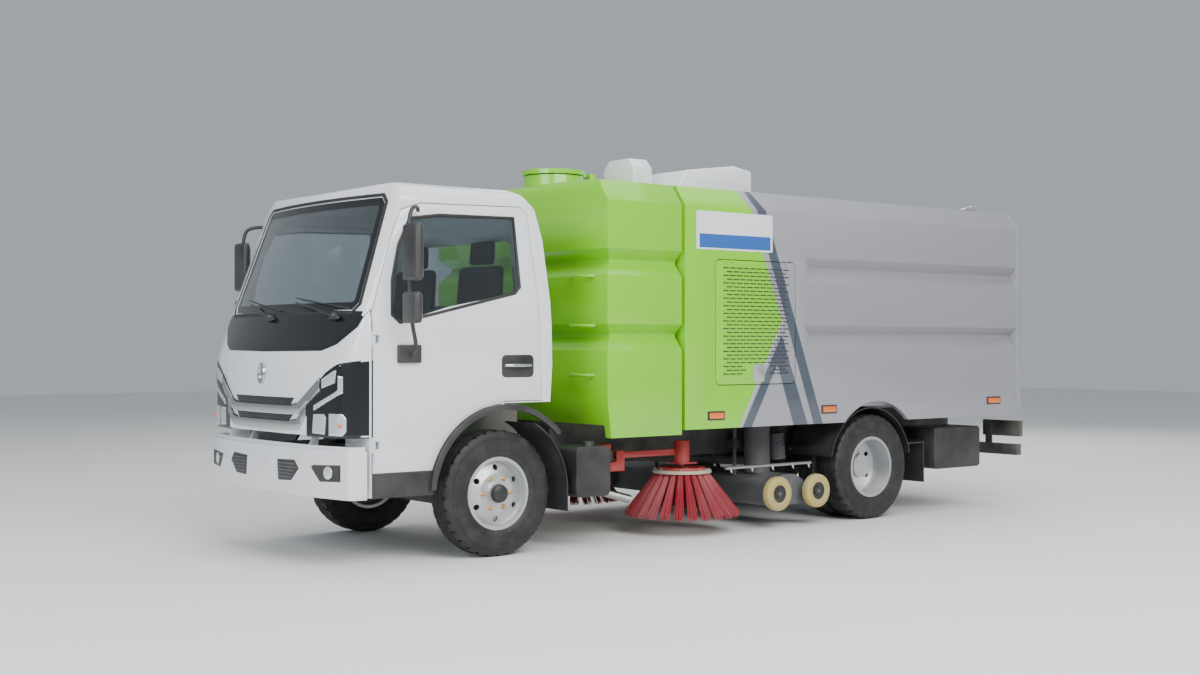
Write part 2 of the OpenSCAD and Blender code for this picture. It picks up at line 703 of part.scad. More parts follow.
// Side outline of the cab, moved inward by inset above the floor
function cab_outline(inset, bottom) = concat(
  [[0, bottom], [door_front + 20, bottom], [door_front + 20, panel_bottom], [cab_front_x - 12 - inset, panel_bottom]],
  [[cab_front_x - inset, 900], [cab_front_x - inset, 1060], [cab_front_x - 22 - inset, 1270],
   [cab_front_x - 60 - inset, 1390], screen_foot - [inset, 0],
   screen_top - [inset, inset * 0.7], [screen_top[0] - 60 - inset, cab_height - 24 - inset],
   [screen_top[0] - 380, cab_height - inset], [-80, cab_height - 10 - inset],
   [-180 + inset * 0.5, cab_height - 40 - inset], [-268 + inset, cab_height - 140 - inset],
   [-318 + inset, 1950], [-356 + inset, 1576], [cab_rear_x + inset, 1171], [-348 + inset, 942], [0, 942]]
);

// Front outline of the cab, its sides moved in by side and its roof by roof, anticlockwise
function cab_section(side, roof) = let (h = cab_half - side, t = cab_height - roof) [
  [-h, 300], [h, 300], [h, belt_z], [h - 60, t - 120], [h - 85, t - 60], [h - 145, t - 20],
  [0, t + 5], [-h + 145, t - 20], [-h + 85, t - 60], [-h + 60, t - 120], [-h, belt_z]
];

// Upright slab with a bowed front and front corners of radius corner
module bowed_slab(inset, front, corner) {
  r = corner - inset;
  h = cab_half - inset;
  f = front - inset;
  back = f - (bow_radius - inset) + sqrt(pow(bow_radius - inset - r, 2) - pow(h - r, 2)) + corner_overlap;
  intersection() {
    translate([f - (bow_radius - inset), 0, -1500]) cylinder(h = 4500, r = bow_radius - inset, $fn = bow_facets);
    union() {
      block([-1500, -h, -1500], [back, h, 3000]);
      block([-1500, -h + r, -1500], [f + 10, h - r, 3000]);
      for (s = [-1, 1]) translate([back, s * (h - r), -1500]) cylinder(h = 4500, r = r, $fn = 144);
    }
  }
}

// Outer or inner volume of the cab
module cab_volume(side, inset, outline) intersection() {
  side_prism(outline, -cab_half + side, cab_half - side);
  cross_prism(cab_section(side, inset), -1000, 1500);
  bowed_slab(inset, cab_front_x, corner_radius);
  translate([screen_foot[0], 0, screen_foot[1]]) rotate([0, -screen_lean, 0]) bowed_slab(inset, 0, pillar_radius);
}

function cab_inner() = [
  [470, foot_floor], [cab_front_x - 60, foot_floor], [cab_front_x - 50, 1000], [cab_front_x - 60, 1200],
  [cab_front_x - 100, 1370], screen_foot - [50, 0], screen_top - [60, 35], [screen_top[0] - 120, cab_height - 66],
  [screen_top[0] - 380, cab_height - 50], [-75, cab_height - 60], [-160, cab_height - 90],
  [-222, cab_height - 170], [-268, 1945], [-306, 1576], [-313, 1171], [-300, seat_floor], [470, seat_floor]
];

// Door outline in X and Z
door_outline = [
  [500, 560], [door_front, 560], [door_front, 1480], [778, 1900], [695, 2085], [560, 2130],
  [-150, 2145], [-205, 2100], [-262, 1575], [-278, 955], [0, 955]
];

// Side window outline in X and Z
window_outline = [
  [732, 1425], [785, 1471], [775, 1673], [722, 1880], [640, 2040], [430, 2068], [-105, 2078],
  [-130, 1650], [-90, 1612], [389, 1522]
];

// Windscreen and rear window outlines in Y and Z
screen_outline = [
  [-770, 1500], [770, 1500], [812, 1540], [755, 2130], [715, 2168], [-715, 2168], [-755, 2130], [-812, 1540]
];
rear_window_outline = round_box([-600, 1560], [600, 1960], 60);

// Headlamp outline in Y and Z, at the left corner
lamp_back = door_front + 22;
lamp_outline = [[528, 778], [950, 778], [950, 1213], [652, 1100]];

module arch_cut(r) cross_pin(-10, wheel_z, -cab_half - 50, cab_half + 50, r);

module cab_shell() placed() color("white") {
  difference() {
    cab_volume(0, 0, cab_outline(0, sill_bottom));
    cab_volume(cab_wall, front_wall, cab_inner());
    arch_cut(cab_arch_radius);
    // Room under the floor for the frame, engine and wheels
    block([-500, -tunnel_half, 0], [470 - floor_sheet, tunnel_half, seat_floor - floor_sheet]);
    block([-500, -tunnel_half, 0], [cab_front_x - 70, tunnel_half, foot_floor - floor_sheet]);
    both_sides() {
      // Doorway: a rebate for the door and a smaller way through
      intersection() {
        side_prism(grown(door_outline, door_gap), cab_half - 200, cab_half + 1);
        cross_prism(door_band(door_thickness + door_gap, -60), -1000, door_front + 10);
      }
      block([door_front - 30, cab_half - door_thickness - door_gap, 560 - door_gap], [door_front + 10, cab_half + 1, 1500]);
      side_prism(grown(door_outline, -30), tunnel_half, cab_half + 1);
      cross_prism(grown(lamp_outline, seat_gap), lamp_back - seat_gap, cab_front_x + 50);
    }
    cross_prism(screen_outline, 600, 1500);
    cross_prism(rear_window_outline, -500, -200);
  }
  both_sides() {
    // Hinge lugs and pins of the door
    for (z = door_hinge_heights) {
      block([door_front - 20, cab_half - cab_wall + 10, z - 20], [door_hinge[0] + 6, door_hinge[1], z + 20]);
      translate([door_hinge[0], door_hinge[1], z - 20]) cylinder(h = 40, r = door_knuckle);
      translate([door_hinge[0], door_hinge[1], z - 44]) cylinder(h = 88, r = door_pin);
    }
    // Arm down to the tilt pivot
    side_prism([[tilt_pivot_x - 36, tilt_pivot_height], [tilt_pivot_x + 8, tilt_pivot_height], [tilt_pivot_x + 8, 705],
                [tilt_pivot_x - 14, 745], [tilt_pivot_x - 14, foot_floor - 20], [tilt_pivot_x - 60, foot_floor - 20]],
               rail_out + 12 + seat_gap, rail_out + 42);
    cross_pin(tilt_pivot_x, tilt_pivot_height, rail_out + 12 + seat_gap, rail_out + 42, 36);
    cross_pin(tilt_pivot_x, tilt_pivot_height, rail_out - rail_width, rail_out + 42, tilt_pin - pin_gap);
  }
}

// Band under the cab's side face, from depth a to depth b
function door_band(a, b) = concat(
  [for (p = [[cab_half, 300], [cab_half, belt_z], [cab_half - 60, cab_height - 120], [cab_half - 85, cab_height - 60]]) p - [b, 0]],
  [for (p = [[cab_half - 85, cab_height - 60], [cab_half - 60, cab_height - 120], [cab_half, belt_z], [cab_half, 300]]) p - [a, 0]]
);

module headlamps() placed() color("silver") both_sides() difference() {
  intersection() {
    cross_prism(lamp_outline, lamp_back, cab_front_x + 50);
    bowed_slab(0, cab_front_x, corner_radius);
  }
  bowed_slab(front_wall, cab_front_x, corner_radius);
}

// Sheet of glass between two depths behind the windscreen's face
module screen_sheet(a, b)
  translate([screen_foot[0], 0, screen_foot[1]]) rotate([0, -screen_lean, 0]) translate([-bow_radius, 0, 0])
    difference() {
      cylinder(h = 3000, r = bow_radius - a, center = true, $fn = bow_facets);
      cylinder(h = 3002, r = bow_radius - b, center = true, $fn = bow_facets);
    }

module cab_glass() placed() color("lightblue") {
  intersection() {
    cross_prism(grown(screen_outline, -seat_gap), 600, 1500);
    screen_sheet(4, 10);
  }
  intersection() {
    cross_prism(grown(rear_window_outline, -seat_gap), -500, -200);
    side_prism([[-352, 1500], [-346, 1500], [-308, 1950], [-308, 2000], [-314, 2000], [-314, 1950]], -700, 700);
  }
}

module dashboard() placed() color("dimgray") {
  cab_volume(cab_half - 720, front_wall + seat_gap, [
    [cab_front_x - 72, foot_floor + 250], [cab_front_x - 105, 1340], [cab_front_x - 170, 1440],
    [cab_front_x - 330, 1440], [cab_front_x - 400, 1360], [cab_front_x - 360, 1180]
  ]);
  // Housing of the steering column
  translate(column_top) rotate([0, -column_lean, 0]) difference() {
    translate([0, 0, -350]) cylinder(h = 220, r = 36);
    translate([0, 0, -264]) cylinder(h = 200, r = 20 + pin_gap);
  }
}

module seats() placed() color("gray") {
  for (y = [400, -400]) {
    side_prism(round_box([-200, seat_floor + 0.3], [260, seat_floor + 190], 40), y - 240, y + 240);
    side_prism([[-200, seat_floor + 190.3], [-90, seat_floor + 190.3], [-150, seat_floor + 760], [-230, seat_floor + 760]], y - 230, y + 230);
    side_prism([[-225, seat_floor + 760.3], [-155, seat_floor + 760.3], [-170, seat_floor + 930], [-230, seat_floor + 930]], y - 120, y + 120);
  }
}

column_top = [560, 400, 1420];
column_lean = 38;

module steering_wheel() placed() color("black") translate(column_top) rotate([0, -column_lean, 0]) {
  rotate_extrude($fn = 64) translate([195, 0]) circle(r = 14);
  cylinder(h = 30, r = 45);
  translate([0, 0, -260]) cylinder(h = 262, r = 20);
  for (a = [0, 120, 240]) rotate([0, 0, a]) translate([30, -14, -4]) cube([155, 28, 12]);
}

module cab_door(side) placed() color("white") on_side(side) difference() {
  union() {
    intersection() {
      side_prism(door_outline, cab_half - 200, cab_half + 1);
      cross_prism(door_band(door_thickness, 0), -1000, 1500);
    }
    for (z = door_hinge_heights) translate([door_hinge[0], door_hinge[1], z - 46]) cylinder(h = 92, r = door_knuckle);
  }
  arch_cut(cab_arch_radius + 12);
  side_prism(window_outline, cab_half - 200, cab_half + 1);
  for (z = door_hinge_heights) {
    block([door_front - 40, cab_half - 100, z - 22], [door_front + 20, cab_half + 20, z + 22]);
    translate([door_hinge[0], door_hinge[1], z - 60]) cylinder(h = 120, r = door_pin + pin_gap);
  }
}

module left_door() cab_door(1);
module right_door() cab_door(-1);

module door_glass(side) placed() color("lightblue") on_side(side) intersection() {
  side_prism(grown(window_outline, -seat_gap), cab_half - 200, cab_half + 1);
  cross_prism(door_band(24, 18), -1000, 1500);
}

module left_door_glass() door_glass(1);
module right_door_glass() door_glass(-1);

mirror_out = cab_half + 190;

module door_mirror(side) placed() color("black") on_side(side) {
  // Foot, bow and upper stay
  block([600, cab_half + seat_gap, 1192], [752, cab_half + 30, 1298]);
  swept_tube(bent([[676, cab_half + 20, 1245], [690, mirror_out - 60, 1260], [760, mirror_out - 30, 1450],
                   [790, mirror_out - 30, 2040], [700, mirror_out - 60, 2110], [600, cab_half - 47, 2085]], 45), 12, [1, 0, 0]);
  // Main and wide-angle mirrors
  block([735, mirror_out - 90, 1660], [785, mirror_out + 80, 1990]);
  block([735, mirror_out - 90, 1420], [785, mirror_out + 70, 1600]);
}

module left_mirror() door_mirror(1);
module right_mirror() door_mirror(-1);

// Wheels -----------------------------------------------------------------------------------

// Wheel frame: its origin at the tyre's middle, its Z outward along the truck's Y
module at_wheel(x, y) translate([x, y, wheel_z]) rotate([-90, 0, 0]) children();

module tyre() {
  w = tyre_width / 2;
  b = tyre_bore;
  r = tyre_radius;
  rotate_extrude($fn = 96) polygon([
    [b, -w + 24], [b + 18, -w + 24], [b + 34, -w + 6], [b + 75, -w], [r - 32, -w + 10], [r - 10, -w + 26],
    [r, -w + 48], [r, w - 48], [r - 10, w - 26], [r - 32, w - 10], [b + 75, w], [b + 34, w - 6],
    [b + 18, w - 24], [b, w - 24]
  ]);
}

// Rim with a disc that runs from face at the hub to seat at the barrel
module rim(face, seat) {
  w = tyre_width / 2;
  b = tyre_bore;
  g = seat_gap;
  rotate_extrude($fn = 96) polygon([
    [b - 10, -w + 16], [b + 14, -w + 16], [b + 14, -w + 24 - g], [b - g, -w + 24 - g],
    [b - g, w - 24 + g], [b + 14, w - 24 + g], [b + 14, w - 16], [b - 10, w - 16]
  ]);
  difference() {
    rotate_extrude($fn = 96) polygon([
      [60, face - 12], [118, face - 12], [b - 16, seat - 12], [b - 9, seat - 12],
      [b - 9, seat], [b - 16, seat], [122, face], [60, face]
    ]);
    for (i = [0:5]) rotate([0, 0, 60 * i + 30]) translate([158, 0, -tyre_width]) cylinder(h = 2 * tyre_width, r = 18);
  }
}

// Hub from z0 to z1, bored for the stub axle up to z2
module hub(z0, z1, z2, r) difference() {
  translate([0, 0, z0]) cylinder(h = z1 - z0, r = r);
  translate([0, 0, z0 - 1]) cylinder(h = z2 - z0 + 1, r = stub_radius + pin_gap);
}

module front_tyre(side) placed() color("black") on_side(side) at_wheel(0, front_track_half) tyre();

module front_rim(side) placed() color("silver") on_side(side) at_wheel(0, front_track_half) {
  rim(62, 30);
  hub(-50, 85, 75, 68);
  difference() {
    translate([0, 0, -50]) cylinder(h = 40, r = 150);
    translate([0, 0, -51]) cylinder(h = 60, r = 60);
  }
}

module front_left_tyre() front_tyre(1);
module front_right_tyre() front_tyre(-1);
module front_left_rim() front_rim(1);
module front_right_rim() front_rim(-1);

module rear_tyres(side) placed() color("black") on_side(side)
  for (y = [rear_outer_track_half, rear_outer_track_half - twin_spacing]) at_wheel(rear_axle_x, y) tyre();

module rear_rims(side) placed() color("silver") on_side(side) {
  half = twin_spacing / 2;
  at_wheel(rear_axle_x, rear_outer_track_half) rim(12 - half, 30 - half);
  at_wheel(rear_axle_x, rear_outer_track_half - twin_spacing) mirror([0, 0, 1]) rim(12 - half, 30 - half);
  at_wheel(rear_axle_x, rear_outer_track_half) hub(-twin_spacing - 80, -15, -25, 85);
  at_wheel(rear_axle_x, rear_outer_track_half) difference() {
    translate([0, 0, -twin_spacing - 80]) cylinder(h = 90, r = 160);
    translate([0, 0, -twin_spacing - 81]) cylinder(h = 100, r = 80);
  }
}

module rear_left_tyres() rear_tyres(1);
module rear_right_tyres() rear_tyres(-1);
module rear_left_rims() rear_rims(1);
module rear_right_rims() rear_rims(-1);

// Yoke on the kingpin, with the stub axle that carries the wheel
module knuckle(side) placed() color("gray") on_side(side) difference() {
  union() {
    for (z = [300, 431]) translate([0, kingpin_out, z]) cylinder(h = 44, r = 40);
    for (z = [300, 431]) block([-32, kingpin_out, z], [32, kingpin_out + 62, z + 44]);
    block([-40, kingpin_out + 46, 300], [40, kingpin_out + 62, 475]);
    cross_pin(0, wheel_z, kingpin_out + 50, front_track_half + 70, stub_radius);
  }
  translate([0, kingpin_out, 200]) cylinder(h = 400, r = 18 + pin_gap);
}

module left_knuckle() knuckle(1);
module right_knuckle() knuckle(-1);

// Sweeping gear ----------------------------------------------------------------------------

// Post that swings on the frame's outrigger, with a fork for the arm
module brush_post(side) placed() color("crimson") on_side(side) {
  p = brush_pivot;
  low = frame_bottom + 20 - move_gap;
  translate([p[0], p[1], low - 64]) cylinder(h = 64, r = 45);
  block([p[0] - 130, p[1] - 42, low - 64], [p[0], p[1] + 42, low]);
  for (s = [0, 1]) block([p[0] - 130, p[1] - 42 + s * 70, low - 10], [p[0] - 62, p[1] - 28 + s * 70, arm_z + 32]);
  translate([p[0], p[1], low - 1]) cylinder(h = 96, r = 20 - pin_gap);
  translate([p[0], p[1], frame_bottom + 96]) cylinder(h = 40, r = 38);
  cross_pin(arm_pivot_x, arm_z, p[1] - 41, p[1] + 41, 12 - pin_gap);
}

// Arm from the fork to the motor above the brush
module brush_arm(side) placed() color("crimson") on_side(side) {
  difference() {
    union() {
      cross_pin(arm_pivot_x, arm_z, brush_pivot[1] - 25, brush_pivot[1] + 25, 28);
      block([brush_x + 30, brush_pivot[1] - 22, arm_z - 20], [arm_pivot_x, brush_pivot[1] + 22, arm_z + 20]);
    }
    cross_pin(arm_pivot_x, arm_z, 0, body_half, 12);
  }
  translate([brush_x, brush_out, 474]) cylinder(h = 160, r = 55);
  block([brush_x - 75, brush_out - 75, 474], [brush_x + 75, brush_out + 75, 484]);
  translate([brush_x, brush_out, disc_z]) cylinder(h = 50, r = 15);
}

module brush(side) placed() color("crimson") on_side(side) translate([brush_x, brush_out, 0]) {
  difference() {
    union() {
      translate([0, 0, disc_z - 8]) cylinder(h = 20, r = brush_disc_radius);
      translate([0, 0, disc_z - 20]) cylinder(h = 52, r = 45);
    }
    translate([0, 0, disc_z - 6]) cylinder(h = 60, r = 15 + pin_gap);
  }
  for (i = [0:bundle_count - 1]) rotate([0, 0, 360 * i / bundle_count])
    bundle([brush_disc_radius - 40, 0, disc_z], [brush_radius - 14, 0, brush_lift + 18]);
}

// One tuft of bristles, widening towards its tips
module bundle(a, b) {
  d = b - a;
  translate(a) rotate([0, acos(d[2] / norm(d)), 0]) cylinder(h = norm(d), r1 = 14, r2 = 20, $fn = 16);
}

module left_brush_post() brush_post(1);
module left_brush_arm() brush_arm(1);
module left_brush() brush(1);
module right_brush_post() brush_post(-1);
module right_brush_arm() brush_arm(-1);
module right_brush() brush(-1);

// Suction head across the truck, with the duct up to the hopper floor
module suction_nozzle() placed() color("dimgray") {
  low = nozzle_lift + 25;
  difference() {
    side_prism([[nozzle_x - 185, low], [nozzle_x + 185, low], [nozzle_x + 150, low + 170], [nozzle_x + 60, low + 215],
                [nozzle_x - 60, low + 215], [nozzle_x - 150, low + 170]], -nozzle_half, nozzle_half);
    side_prism([[nozzle_x - 160, low - 1], [nozzle_x + 160, low - 1], [nozzle_x + 135, low + 160], [nozzle_x + 55, low + 205],
                [nozzle_x - 55, low + 205], [nozzle_x - 135, low + 160]], -nozzle_half + 10, nozzle_half - 10);
    translate([nozzle_x, duct_out, low]) cylinder(h = 400, r = duct_radius - 8);
  }
  difference() {
    translate([nozzle_x, duct_out, low + 212]) cylinder(h = floor_height - move_gap - low - 212, r = duct_radius);
    translate([nozzle_x, duct_out, low]) cylinder(h = 900, r = duct_radius - 8);
  }
  both_sides() {
    for (s = [-1, 1]) {
      cross_pin(nozzle_x + s * nozzle_wheel_reach, nozzle_lift + nozzle_wheel_radius, nozzle_half, nozzle_wheel_out + 30, 12);
      block([nozzle_x + s * nozzle_wheel_reach - 60, nozzle_half - 10, low + 20],
            [nozzle_x + s * nozzle_wheel_reach + 60, nozzle_half + 25, low + 130]);
    }
    translate([nozzle_x + 110, guide_out, low + 150]) cylinder(h = 480, r = 15);
  }
}

duct_out = 560;
duct_radius = 95;
guide_out = 440;

module nozzle_wheel(s, side) placed() color("khaki") on_side(side)
  translate([nozzle_x + s * nozzle_wheel_reach, nozzle_wheel_out, nozzle_lift + nozzle_wheel_radius]) rotate([90, 0, 0])
    difference() {
      rotate_extrude() polygon([
        [0, -24], [50, -24], [62, -30], [nozzle_wheel_radius - 10, -30], [nozzle_wheel_radius, -20],
        [nozzle_wheel_radius, 20], [nozzle_wheel_radius - 10, 30], [62, 30], [50, 24], [0, 24]
      ]);
      cylinder(h = 100, r = 12 + pin_gap, center = true);
    }

module nozzle_wheel_fl() nozzle_wheel(1, 1);
module nozzle_wheel_rl() nozzle_wheel(-1, 1);
module nozzle_wheel_fr() nozzle_wheel(1, -1);
module nozzle_wheel_rr() nozzle_wheel(-1, -1);

// Nodes ------------------------------------------------------------------------------------

chassis_frame();
subframe();
front_axle();
rear_axle();
leaf_springs();
engine();
fuel_tank();
battery_box();
exhaust();
front_bumper();
mudguards();
tail_bar();
water_tank();
auxiliary_engine();
cab_shell();
cab_glass();
headlamps();
dashboard();
seats();
steering_wheel();
left_door();
left_door_glass();
left_mirror();
right_door();
right_door_glass();
right_mirror();
left_knuckle();
right_knuckle();
front_left_tyre();
front_left_rim();
front_right_tyre();
front_right_rim();
rear_left_tyres();
rear_left_rims();
rear_right_tyres();
rear_right_rims();
hopper();
roof_hoods();
tailgate();
left_engine_flap();
right_engine_flap();
tank_lid();
lift_barrels();
lift_rods();
left_brush_post();
left_brush_arm();
left_brush();
right_brush_post();
right_brush_arm();
right_brush();
suction_nozzle();
nozzle_wheel_fl();
nozzle_wheel_rl();
nozzle_wheel_fr();
nozzle_wheel_rr();
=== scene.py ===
# %% [markdown]
# # A street sweeper truck
# The truck has a white tilting cab, a lime water tank, a long folded-sheet hopper and red
# brushes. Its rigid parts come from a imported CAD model, called the frame. This lesson gives
# them rounded edges and finishes, and adds what CAD leaves out: tread, bolts, louvres, lamps,
# bristles and hoses. Everything is in metres: +X is forward, +Y the truck's left, +Z up.

# %% Load the frame
import json
import math
import random

import bpy
from mathutils.bvhtree import BVHTree
from mathutils import Matrix, Vector

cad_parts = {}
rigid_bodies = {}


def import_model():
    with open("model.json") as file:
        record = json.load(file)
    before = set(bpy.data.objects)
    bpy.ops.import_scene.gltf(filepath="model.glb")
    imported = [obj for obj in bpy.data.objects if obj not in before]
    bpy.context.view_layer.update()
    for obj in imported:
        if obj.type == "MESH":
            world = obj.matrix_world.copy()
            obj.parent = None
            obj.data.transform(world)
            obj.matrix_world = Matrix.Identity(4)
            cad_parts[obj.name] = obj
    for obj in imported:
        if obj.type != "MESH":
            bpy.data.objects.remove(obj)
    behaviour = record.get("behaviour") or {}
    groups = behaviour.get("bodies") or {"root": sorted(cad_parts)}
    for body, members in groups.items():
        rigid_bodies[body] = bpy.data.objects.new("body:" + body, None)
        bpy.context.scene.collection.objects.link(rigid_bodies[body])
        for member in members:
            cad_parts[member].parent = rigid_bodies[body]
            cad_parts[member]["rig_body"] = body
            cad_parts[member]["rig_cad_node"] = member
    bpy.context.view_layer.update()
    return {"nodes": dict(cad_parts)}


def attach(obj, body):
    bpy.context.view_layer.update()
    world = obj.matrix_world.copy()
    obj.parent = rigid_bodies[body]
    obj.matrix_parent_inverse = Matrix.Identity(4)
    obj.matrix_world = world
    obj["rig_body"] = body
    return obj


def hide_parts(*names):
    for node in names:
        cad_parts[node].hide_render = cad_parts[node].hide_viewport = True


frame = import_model()
random.seed(7)

# %% [markdown]
# ## Stations
# Most real sizes of a truck are measured from its front axle. One number moves them into the
# frame, whose origin lies under the middle of the truck.

# %% Name the main stations
FRONT_AXLE = 2.0075
REAR_AXLE = FRONT_AXLE - 3.308
AXLE_Z = 0.387
HOPPER_FRONT = FRONT_AXLE - 1.41
CAB_HALF = 0.93
print("hopper starts at", round(HOPPER_FRONT, 3))

# %% [markdown]
# ## Camera, floor and light
# The truck is seen from its front left corner at eye height, by a lens a little longer than
# normal. Broad soft lamps and a pale sky light it, and a plain pale floor carries its shadow.

# %% Camera
view_yaw, view_pitch = math.radians(-128.36), math.radians(0.2)
camera_data = bpy.data.cameras.new("camera")
camera_data.sensor_width = 36.0
camera_data.lens = 45.33
camera_data.clip_end = 200
camera = bpy.data.objects.new("camera", camera_data)
bpy.context.scene.collection.objects.link(camera)
camera.location = (FRONT_AXLE + 5.254, 8.508, 1.309)
aim = Vector((math.cos(view_pitch) * math.cos(view_yaw), math.cos(view_pitch) * math.sin(view_yaw),
              math.sin(view_pitch)))
camera.rotation_mode = "QUATERNION"
camera.rotation_quaternion = aim.to_track_quat("-Z", "Y")
bpy.context.scene.camera = camera
print("camera at", [round(v, 3) for v in camera.location])


# %% Floor and lights
def soft_lamp(name, place, target, width, height, power, colour):
    data = bpy.data.lights.new(name, "AREA")
    data.shape, data.size, data.size_y = "RECTANGLE", width, height
    data.energy, data.color = power, colour
    lamp = bpy.data.objects.new(name, data)
    bpy.context.scene.collection.objects.link(lamp)
    lamp.location = place
    lamp.rotation_euler = (Vector(target) - Vector(place)).to_track_quat("-Z", "Y").to_euler()
    return lamp


bpy.ops.mesh.primitive_grid_add(x_subdivisions=2, y_subdivisions=2, size=60, location=(0, 0, 0))
floor = bpy.context.object
floor.name = "floor"
soft_lamp("key", (2.5, 9.5, 7.5), (0, 0, 1), 9, 6, 1350, (1, 0.99, 0.97))
soft_lamp("front", (11, 3.5, 5), (2, 0, 1.2), 6, 5, 600, (0.93, 0.96, 1))
soft_lamp("back", (-9, -6, 7), (0, 0, 1), 8, 6, 500, (1, 1, 1))
soft_lamp("top", (0, 0, 9), (0, 0, 0), 10, 7, 380, (1, 1, 1))
sky = bpy.data.worlds.new("sky")
bpy.context.scene.world = sky
sky.use_nodes = True
sky.node_tree.nodes["Background"].inputs[0].default_value = (0.82, 0.88, 0.95, 1)
sky.node_tree.nodes["Background"].inputs[1].default_value = 0.50
print("lamps 4")

# %% [markdown]
# ## Shader maths
# A finish is easier to read as arithmetic than as a web of nodes. `Value` wraps a socket and
# turns Python's operators into Math nodes. `Finish` makes a material and gives every other
# node through one method.


# %% Shader helpers
class Value:
    """A number that changes over a surface."""

    def __init__(self, finish, socket):
        self.finish, self.socket = finish, socket

    def maths(self, operation, *others, clamp=False):
        node = self.finish.node("ShaderNodeMath", {"operation": operation, "use_clamp": clamp},
                                [self, *others])
        return Value(self.finish, node.outputs[0])

    def __add__(self, other):
        return self.maths("ADD", other)

    def __sub__(self, other):
        return self.maths("SUBTRACT", other)

    def __mul__(self, other):
        return self.maths("MULTIPLY", other)

    def __truediv__(self, other):
        return self.maths("DIVIDE", other)

    def __rsub__(self, other):
        return (self * -1) + other

    __radd__, __rmul__ = __add__, __mul__

    def above(self, edge, soft=0.001):
        """0 below the edge and 1 above it, with a narrow soft step."""
        return ((self - edge) / soft + 0.5).maths("MINIMUM", 1.0).maths("MAXIMUM", 0.0)

    def below(self, edge, soft=0.001):
        return 1 - self.above(edge, soft)

    def least(self, other):
        return self.maths("MINIMUM", other)

    def most(self, other):
        return self.maths("MAXIMUM", other)

    def size(self):
        return self.maths("ABSOLUTE")


class Finish:
    """A material with one Principled shader."""

    def __init__(self, name, colour, roughness=0.5, **constants):
        self.material = bpy.data.materials.new(name)
        self.material.use_nodes = True
        self.tree = self.material.node_tree
        self.shader = self.tree.nodes["Principled BSDF"]
        self.material.diffuse_color = (*colour, 1)
        self.plug("Base Color", (*colour, 1))
        self.plug("Roughness", roughness)
        for name, value in constants.items():
            self.plug(name.replace("_", " "), value)
        self.colour = (*colour, 1)

    def node(self, kind, settings=None, values=()):
        node = self.tree.nodes.new(kind)
        for name, value in (settings or {}).items():
            setattr(node, name, value)
        pairs = values.items() if isinstance(values, dict) else enumerate(values)
        for key, value in pairs:
            self.join(node.inputs[key], value)
        return node

    def join(self, socket, value):
        if isinstance(value, Value):
            self.tree.links.new(value.socket, socket)
        elif isinstance(value, bpy.types.NodeSocket):
            self.tree.links.new(value, socket)
        else:
            socket.default_value = value

    def plug(self, socket, value):
        self.join(self.shader.inputs[socket], value)

    def place(self, axis=None):
        """Object coordinates, or one of them."""
        vector = self.node("ShaderNodeTexCoord").outputs["Object"]
        if axis is None:
            return vector
        split = self.node("ShaderNodeSeparateXYZ", values=[vector])
        return Value(self, split.outputs["XYZ".index(axis)])

    def noise(self, scale, detail=2.0, stretch=(1, 1, 1)):
        mapped = self.node("ShaderNodeMapping", values={"Vector": self.place(), "Scale": stretch})
        texture = self.node("ShaderNodeTexNoise", values={
            "Vector": mapped.outputs[0], "Scale": scale, "Detail": detail})
        return Value(self, texture.outputs[0])

    def mix(self, amount, first, second):
        """First colour where amount is 0, second where it is 1."""
        node = self.node("ShaderNodeMix", {"data_type": "RGBA"})
        self.join(node.inputs[0], amount)
        self.join(node.inputs[6], first)
        self.join(node.inputs[7], second)
        return node.outputs[2]

    def bump(self, height, strength, distance):
        node = self.node("ShaderNodeBump", values={
            "Strength": strength, "Distance": distance, "Height": height})
        self.plug("Normal", node.outputs[0])


def rgb(red, green, blue):
    return (red, green, blue, 1.0)


print("shader helpers ready")

# %% [markdown]
# ## Finishes
# Real truck paint is never one flat colour. Sprayed paint has a faint orange peel, and road
# dust gathers low down, on ledges and in broad soft patches. Each paint therefore mixes its
# colour with dust by height and noise, which also makes the dusty places duller.

# %% Paints
DUST = rgb(0.33, 0.30, 0.26)


def paint(name, colour, roughness=0.25, dust=0.25, dust_top=1.0, peel=0.05, coat=0.6, surface=None):
    """Glossy sprayed paint; surface may give a colour that changes over the piece."""
    finish = Finish(name, colour, roughness, Coat_Weight=coat, Coat_Roughness=0.08)
    patches = finish.noise(2.3, 5)
    low = finish.place("Z").below(dust_top * 0.45, dust_top * 0.9)
    grime = ((low * 0.75 + 0.12) * (patches * 1.6 - 0.3) * dust).maths("MAXIMUM", 0.0)
    base = surface(finish) if surface else finish.mix(finish.noise(0.8, 3), rgb(*colour),
                                                      rgb(*(c * 0.93 for c in colour)))
    finish.plug("Base Color", finish.mix(grime, base, DUST))
    finish.plug("Roughness", (grime * 0.8 + roughness + (patches - 0.5) * 0.06).least(0.9))
    finish.bump(finish.noise(240, 2), peel, 0.002)
    return finish


def plastic(name, colour, roughness=0.5, grain=900, depth=0.25, dust=0.25):
    """Moulded plastic or underbody paint with a fine grain and settled dust."""
    finish = Finish(name, colour, roughness)
    patches = finish.noise(6, 4)
    finish.plug("Base Color", finish.mix((patches * 1.5 - 0.45).most(0.0) * dust, rgb(*colour), DUST))
    finish.plug("Roughness", (patches * 0.25 + roughness - 0.1).least(0.95))
    finish.bump(finish.noise(grain, 1), depth, 0.0006)
    return finish


